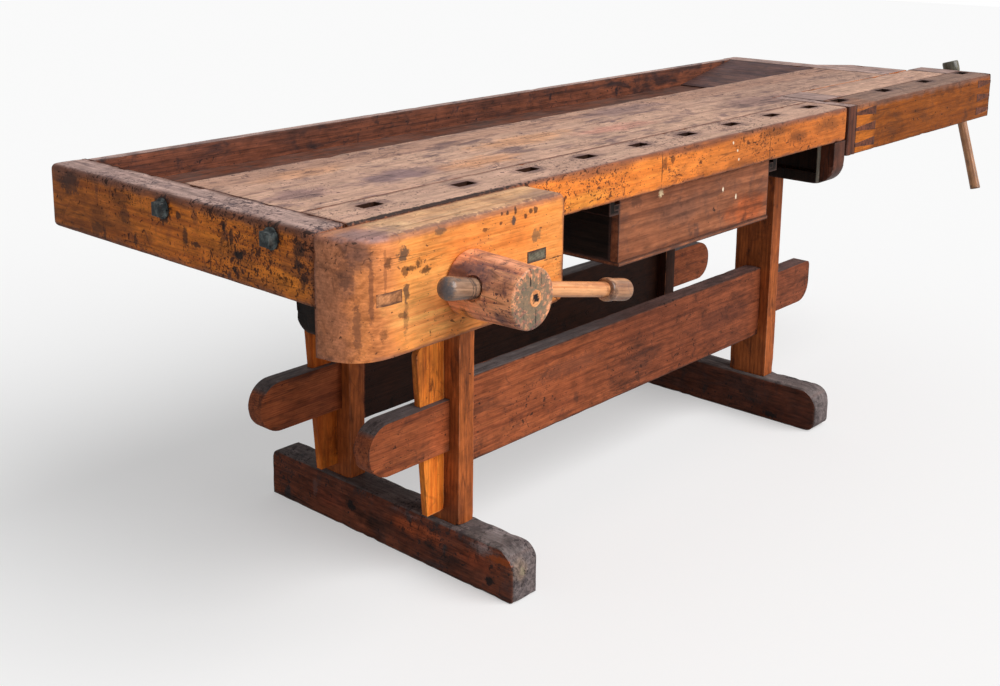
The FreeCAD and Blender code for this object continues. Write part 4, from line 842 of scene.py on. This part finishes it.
        "spots": [((1724, 4, 720), (10, 12, 70), (176, 140, 110), 0.5)],
    },
    "face_nut_block": {"side": "black", "axis": "x", "chips": 8},
    "left_guide_bar": {
        "side": "bar", "axis": "y", "mottle": 0.6, "plain": True,
        "bands": [(1, -95, -70, (186, 124, 82), 0.8, 2)],
    },
    "right_guide_bar": {"side": "grey", "axis": "y", "mottle": 0.8, "plain": True},
}

# boards that only need a palette and the way of their grain
plainBoards = {
    # the drawer's left side and its runners take the near-black palette: painted shade under the top
    "drawer_left_side": ("black", "y"), "drawer_right_side": ("drawer", "y"),
    "drawer_back": ("drawer", "x"), "drawer_bottom": ("drawer", "x"),
    "drawer_left_cleat": ("black", "y"), "drawer_right_cleat": ("black", "y"),
    "drawer_left_runner": ("black", "y"), "drawer_right_runner": ("black", "y"),
    "tail_runner": ("cap", "x"), "tail_guide_rail": ("cap", "x"), "tail_garter": ("black", "z"),
    "face_garter": ("black", "z"), "foot_pegs": ("black", "x"), "top_dowels": ("bar", "z"),
}
for name, (side, axis) in plainBoards.items():
    boards[name] = {"side": side, "axis": axis, "plain": True}

for side in ("left_front", "left_rear", "right_front", "right_rear"):
    boards[side + "_post"] = {
        "side": "post", "axis": "z", "dents": 0.5, "ringSize": 0.008, "streak": 0.4, "smudge": 0.6,
        "wearWidth": 0.003, "wear": (190, 120, 84), "cell": (14, 22, 24), "chips": 12, "wave": 0.8,
    }
# the band paints the post's left and front faces near black: painted shade at the back of the frame
shadedPost = boards["right_rear_post"]
shadedPost["bandFacing"] = (-0.7, -0.7, 0)
shadedPost["bands"] = [(0, 1600, 1800, (30, 14, 9), 0.92, 5)]

for name, s in boards.items():
    paint = boardPaint(name, **s)
    if s.get("plain"):
        nodes[name].data.materials.clear()
        nodes[name].data.materials.append(paint)
    else:
        worn(name, paint, **s)

boltShape = {"cell": (12, 12, 12), "ease": 1.4, "wave": 0.15, "chips": 0}
for name in ("left_cap_bolts", "right_cap_bolts"):
    worn(name, ironPaint(name + ".iron", iron), **boltShape)
print("boards worn")


# turned pieces: bars and knobs, ring by ring along their own line

def lineFrame(direction):
    along = Vector(direction).normalized()
    side = along.cross(Vector((0, 0, 1)) if abs(along.z) < 0.9 else Vector((0, 1, 0))).normalized()
    return along, side, along.cross(side)


socketRadius = 13.4  # narrower turnings seat in a hole and stay round


def turned(name, stands, paint, centre, direction, profile, sides=56, wobble=0.25):
    along, side, lift = lineFrame(direction)
    luck = random.Random(name)
    seed = Vector([luck.uniform(-40, 40) for _ in range(3)])
    shape = bmesh.new()
    rings = []
    for place, radius in profile:
        middle = centre + along * (place / 1000)
        if radius == 0:
            rings.append([shape.verts.new(middle)])
            continue
        ring = []
        for i in range(sides):
            turn = math.tau * i / sides
            out = side * math.cos(turn) + lift * math.sin(turn)
            spot = middle + out * (radius / 1000)
            sink = wobble * (0.5 + 0.5 * noise.noise(spot * 60 + seed)) if radius > socketRadius else 0
            ring.append(shape.verts.new(middle + out * ((radius - sink) / 1000)))
        rings.append(ring)
    for one, two in zip(rings, rings[1:]):
        for i in range(sides):
            j = (i + 1) % sides
            corners = [one[i % len(one)], one[j % len(one)], two[j % len(two)], two[i % len(two)]]
            corners = list(dict.fromkeys(corners))
            if len(corners) > 2:
                shape.faces.new(corners)
    bmesh.ops.recalc_face_normals(shape, faces=shape.faces)
    body = nodes[stands].get("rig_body")
    return finish(shape, name, body, [stands], paint, 40)


def slopes(start, end, count):
    # evenly spaced stations of a straight or slowly changing stretch
    (a, r), (b, q) = start, end
    return [(a + (b - a) * i / count, r + (q - r) * i / count) for i in range(count + 1)]


# each handle's line: where its bar crosses the screw, and which way it runs
handleSlope = math.radians(12.45)
tailSlope = math.radians(16.4)
faceLine = (at(243.5, -140, 720), Vector((math.cos(handleSlope), 0, -math.sin(handleSlope))))
tailLine = (at(2545.5, 118, 765), Vector((0, math.sin(tailSlope), math.cos(tailSlope))))
polish = {"wearWidth": 0.0001, "gloss": 0.76, "sheen": 0.5, "dents": 0.5, "crack": 0.2, "ring": 0.15}


def handlePart(name, line, way, profile, **changes):
    centre, along = line
    grain = [tuple(v) for v in lineFrame(along)]
    paint = boardPaint(name, turn=grain, **polish, **changes)
    turned(name + ".turned", name, paint, centre, along * way, profile)


# profiles: (place along the handle, radius), first the socket, then the body
innerKnob = {
    "socket": [(77, 0), (77, 13.25), (47, 13.25)],
    "body": [(47, 16), (48, 16.5), (53, 16.9), (59, 17), (60, 15.9), (61, 17), (65, 17.2), (66, 16.1),
             (67, 17.3), (76, 17.6), (88, 18.3), (98, 18.9), (104, 18.9), (108, 18.3), (111.5, 16.8),
             (114.6, 13.8), (116.6, 9.6), (117.7, 4.8), (118, 0)],
}
outerKnob = {
    "socket": [(321.5, 0), (321.5, 13.25), (291.5, 13.25)],
    "body": [(291.5, 18.4), (292.6, 19.9), (295, 20.7), (303, 20.9), (305.5, 20.6), (306.8, 19.6),
             (309, 19.5), (324, 19.8), (338, 20), (347, 19.9), (351, 19), (354.6, 16.6),
             (357.4, 12.6), (359, 7), (359.5, 0)],
}
tailKnob = {
    "socket": [(75.8, 0), (75.8, 12.9), (53.8, 12.9)],
    "body": [(53.8, 19.6), (55, 21), (57.6, 22), (66, 22.4), (80, 22.2), (84, 21.4), (85.6, 19.6),
             (85.8, 0)],
}
smoke = (58, 52, 52)

handlePart("face_handle_inner_knob", faceLine, -1, innerKnob["socket"] + innerKnob["body"],
           side="dim", smudge=0.8, mottle=0.9,
           spots=[((126, -140, 746), (16, 26, 24), (84, 84, 90), 0.75),
                  ((185, -140, 733), (4, 26, 26), smoke, 0.7), ((179, -140, 734), (2, 26, 26), smoke, 0.6),
                  ((117, -146, 749), (3, 3, 3), ink, 0.9)])
# the outer knob's spot darkens its end face toward the hub: painted shade
handlePart("face_handle_outer_knob", faceLine, 1, outerKnob["socket"] + outerKnob["body"],
           side="knob", smudge=0.5, mottle=0.7, spots=[((533, -140, 656), (9, 30, 30), (82, 60, 48), 0.7)])
faceBar = [(-76.6, 0)] + slopes((-76.6, 13.2), (321.1, 13.2), 30) + [(321.1, 0)]
handlePart("face_handle_bar", faceLine, 1, faceBar, side="bar", mottle=0.5, smudge=0.3,
           spots=[((300, -140, 707), (16, 20, 20), (150, 96, 60), 0.7),
                  ((524, -140, 658), (9, 20, 20), (150, 96, 60), 0.6)])
handlePart("tail_handle_knob", tailLine, 1, tailKnob["socket"] + tailKnob["body"],
           side="grey", mottle=0.8, smudge=0.6)
tailBar = [(-289, 0), (-289, 12.9), (-287.4, 13.9)] + slopes((-286, 13.9), (-200, 12.8), 8)
tailBar += slopes((-190, 12.8), (75.4, 12.8), 16) + [(75.4, 0)]
handlePart("tail_handle_bar", tailLine, 1, tailBar, side="knob", mottle=0.9, smudge=0.5,
           spots=[((2545, 36, 487), (20, 20, 12), smoke, 0.7)])
print("handles turned")


# wooden screws: the hub keeps the solid's form, and a cut thread replaces the plain shank

threadInputs = {
    "Float": ["Run", "Crest", "Depth", "Pitch", "Crest Share", "Flank Share"],
    "Int": ["Rings", "Corners"],
    "Material": ["Wood"],
}


def makeThreadTree():
    # a flat grid wound into a rod whose radius falls and rises along a helix
    tree = bpy.data.node_groups.new("woodenThread", "GeometryNodeTree")
    for kind, names in threadInputs.items():
        for name in names:
            tree.interface.new_socket(name, in_out="INPUT", socket_type="NodeSocket" + kind)
    tree.interface.new_socket("Geometry", in_out="OUTPUT", socket_type="NodeSocketGeometry")
    g = Sheet(tree)
    given = tree.nodes.new("NodeGroupInput").outputs
    counts = {"Vertices X": given["Rings"], "Vertices Y": given["Corners"], "Size X": 1.0, "Size Y": 1.0}
    grid = g.node("GeometryNodeMeshGrid", counts).outputs["Mesh"]
    flat = g.split(g.node("GeometryNodeInputPosition", {}).outputs["Position"])
    place = g.times(g.add(flat[0], 0.5), given["Run"])
    turn = g.add(flat[1], 0.5)
    phase = g.sum("FRACT", g.less(g.sum("DIVIDE", place, given["Pitch"]), turn))
    fall = g.less(g.times(g.sum("ABSOLUTE", g.less(phase, 0.5)), 2.0), given["Crest Share"])
    fall = g.sum("MINIMUM", g.most(g.sum("DIVIDE", fall, given["Flank Share"]), 0.0), 1.0)
    radius = g.less(given["Crest"], g.times(given["Depth"], fall))
    angle = g.times(turn, math.tau)
    across = g.times(g.sum("COSINE", angle), radius)
    lift = g.times(g.sum("SINE", angle), radius)
    wound = {"Geometry": grid, "Position": g.join(place, across, lift)}
    wound = g.node("GeometryNodeSetPosition", wound).outputs["Geometry"]
    closed = g.node("GeometryNodeMergeByDistance", {"Geometry": wound, "Distance": 1e-5})
    real = g.node("GeometryNodeRealizeInstances", {"Geometry": closed.outputs["Geometry"]})
    dressed = {"Geometry": real.outputs["Geometry"], "Material": given["Wood"]}
    dressed = g.node("GeometryNodeSetMaterial", dressed)
    g.node("NodeGroupOutput", {"Geometry": dressed.outputs["Geometry"]})
    return tree


threadTree = makeThreadTree()


def windThread(shape, paint, s, start, way):
    along, side, lift = lineFrame(way)
    values = {
        "Run": s["run"] / 1000, "Crest": s["crest"] / 1000, "Depth": s["depth"] / 1000,
        "Pitch": s["pitch"] / 1000, "Crest Share": s["crestShare"], "Flank Share": s["flankShare"],
        "Rings": int(s["run"] / s["pitch"] * s["ringsPerTurn"]) + 1, "Corners": s["sides"] + 1,
        "Wood": paint,
    }
    empty = bpy.data.meshes.new("thread")
    rod = bpy.data.objects.new("thread", empty)
    scene.collection.objects.link(rod)
    modifier = rod.modifiers.new("thread", "NODES")
    modifier.node_group = threadTree
    for item in threadTree.interface.items_tree:
        if item.in_out == "INPUT":
            modifier[item.identifier] = values[item.name]
    mesh = bpy.data.meshes.new_from_object(rod.evaluated_get(bpy.context.evaluated_depsgraph_get()))
    rod.modifiers.remove(modifier)
    bpy.data.objects.remove(rod)
    bpy.data.meshes.remove(empty)
    turn = Matrix((along, side, lift)).transposed().to_4x4()
    mesh.transform(Matrix.Translation(start) @ turn)
    shape.from_mesh(mesh)
    bpy.data.meshes.remove(mesh)
    bmesh.ops.holes_fill(shape, edges=[e for e in shape.edges if e.is_boundary])


def screwPiece(name, paint, s):
    item = nodes[name]
    start = at(*s["start"])
    way = s["way"]
    shape = bmesh.new()
    shape.from_mesh(item.data)
    bmesh.ops.remove_doubles(shape, verts=shape.verts, dist=1e-5)
    everything = list(shape.verts) + list(shape.edges) + list(shape.faces)
    made = bmesh.ops.bisect_plane(shape, geom=everything, plane_co=start, plane_no=way, dist=1e-6,
                                  clear_outer=True)
    rim = [e for e in made["geom_cut"] if isinstance(e, bmesh.types.BMEdge)]
    bmesh.ops.holes_fill(shape, edges=rim)
    bmesh.ops.dissolve_limit(shape, angle_limit=math.radians(0.5), verts=shape.verts, edges=shape.edges)
    low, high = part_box(name)
    cutGrid(shape, low, high, s["cell"])
    luck = random.Random(name)
    seed = Vector([luck.uniform(-50, 50) for _ in range(3)])
    shape.normal_update()
    moves = []
    for v in shape.verts:
        swell = 0.5 + 0.5 * noise.noise(v.co * s["swell"] + seed)
        moves.append(v.normal * (-s["sink"] - s["wave"] * swell))
    for v, move in zip(list(shape.verts), moves):
        v.co += move
    windThread(shape, paint, s, start, way)
    bmesh.ops.recalc_face_normals(shape, faces=shape.faces)
    return finish(shape, name + ".turned", item["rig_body"], [name], paint, 40)


plainScrew = {
    "pitch": 12.5, "sides": 40, "ringsPerTurn": 10, "crestShare": 0.12, "flankShare": 0.76,
    "cell": (0.012, 0.012, 0.012), "sink": 0.0004, "wave": 0.0008, "swell": 34,
}
faceScrew = {**plainScrew, "start": (243.5, 6, 720), "way": (0, 1, 0), "run": 293.8, "crest": 25.9,
             "depth": 4.6}
tailScrew = {**plainScrew, "start": (2398, 118, 765), "way": (-1, 0, 0), "run": 320.8, "crest": 19.9,
             "depth": 3.8}
hub = {
    "side": "hub", "axis": "y", "gloss": 0.62, "sheen": 0.26, "dents": 1.2, "smudge": 0.8,
    "mottle": 0.8, "ring": 0.1, "blotch": 0.7, "wearWidth": 0.0001, "crack": 0.5,
    "fields": [
        ((214, -112, 684), (30, 24, 24), (226, 140, 66), 0.9),
        ((240, -160, 768), (30, 50, 12), (222, 150, 116), 0.6),
        ((198, -108, 752), (22, 26, 26), (98, 66, 66), 0.75),
        ((206, -196, 740), (16, 22, 16), (150, 96, 76), 0.5),
        ((206, -196, 694), (18, 18, 20), (124, 80, 70), 0.6),
    ],
    "spots": [
        ((243.5, -224, 720), (64, 10, 64), (116, 108, 88), 0.85),
        ((237, -222, 756), (1.6, 8, 22), ink, 1),
        ((250, -222, 690), (1.4, 8, 18), ink, 0.9),
        ((222, -222, 700), (1.2, 8, 20), (70, 64, 54), 0.7),
        ((262, -222, 742), (1.2, 8, 14), (70, 64, 54), 0.7),
        ((205, -130, 760), (14, 30, 14), (92, 74, 84), 0.6),
        ((222, -196, 676), (12, 16, 9), (70, 60, 66), 0.8),
        ((190, -150, 745), (16, 30, 16), (98, 74, 78), 0.5),
        ((200, -190, 690), (10, 12, 14), (86, 66, 70), 0.6),
    ],
}
screwPiece("face_screw", woodPaint("face_screw.wood", *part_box("face_screw"), **hub), faceScrew)
tailWood = {"side": "tray", "axis": "x", "smudge": 0.7}
screwPiece("tail_screw", woodPaint("tail_screw.wood", *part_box("tail_screw"), **tailWood), tailScrew)


def makeCore():
    # plug of light wood set in the hub's end, with the lathe's centre hole
    low, high = at(235.5, -220, 706.5), at(262.5, -212, 733.5)
    # the large dark spot paints shade into the centre hole
    paint = woodPaint("core.wood", low, high, side="bar", axis="y", wearWidth=0.0001, mottle=0.6,
                      spots=[((249, -221, 720), (8, 9, 8), ink, 1),
                             ((244, -221, 722), (1, 5, 9), brown, 0.8)])
    profile = [(0, 0), (0, 12.2), (7.2, 13.4), (7.95, 12.8), (7.95, 5.6), (7.7, 5.0), (7.7, 0)]
    turned("hub.core", "face_screw", paint, at(249, -212, 720), (0, -1, 0), profile, 48, 0)


makeCore()
print("screws cut")

# studio: pale floor, white surround and one broad lamp from the front
studio = {
    "floorSize": 14, "floor": 0.60, "floorGlow": 0.34, "floorBounce": 0.42, "surround": 0.40,
    "lamp": 3.2, "lampSpread": 54, "lampFrom": (0.22, -0.76, 0.61),
}


def makeStudio(s):
    mesh = bpy.data.meshes.new("floor")
    shape = bmesh.new()
    bmesh.ops.create_grid(shape, x_segments=8, y_segments=8, size=s["floorSize"])
    shape.to_mesh(mesh)
    shape.free()
    floor = bpy.data.objects.new("floor", mesh)
    scene.collection.objects.link(floor)
    paint = bpy.data.materials.new("floor")
    paint.use_nodes = True
    g = Sheet(paint.node_tree)
    shader = paint.node_tree.nodes["Principled BSDF"]
    seen = g.node("ShaderNodeLightPath", {}).outputs["Is Camera Ray"]
    far = s["floorBounce"]
    tone = g.blend(seen, (far, far, far, 1), (s["floor"], s["floor"], s["floor"], 1))
    paint.node_tree.links.new(tone, shader.inputs["Base Color"])
    paint.node_tree.links.new(g.times(seen, s["floorGlow"]), shader.inputs["Emission Strength"])
    shader.inputs["Emission Color"].default_value = (1, 1, 1, 1)
    shader.inputs["Roughness"].default_value = 1.0
    shader.inputs["Specular IOR Level"].default_value = 0.0
    mesh.materials.append(paint)

    world = bpy.data.worlds.new("studio")
    world.use_nodes = True
    tree = world.node_tree
    g = Sheet(tree)
    seen = g.node("ShaderNodeLightPath", {}).outputs["Is Camera Ray"]
    strength = g.add(s["surround"], g.times(seen, 1 - s["surround"]))
    tree.nodes["Background"].inputs["Color"].default_value = (1, 1, 1, 1)
    tree.links.new(strength, tree.nodes["Background"].inputs["Strength"])
    scene.world = world

    lamp = bpy.data.lights.new("lamp", "SUN")
    lamp.energy = s["lamp"]
    lamp.angle = math.radians(s["lampSpread"])
    placed = bpy.data.objects.new("lamp", lamp)
    placed.rotation_euler = Vector(s["lampFrom"]).to_track_quat("Z", "Y").to_euler()
    scene.collection.objects.link(placed)


makeStudio(studio)
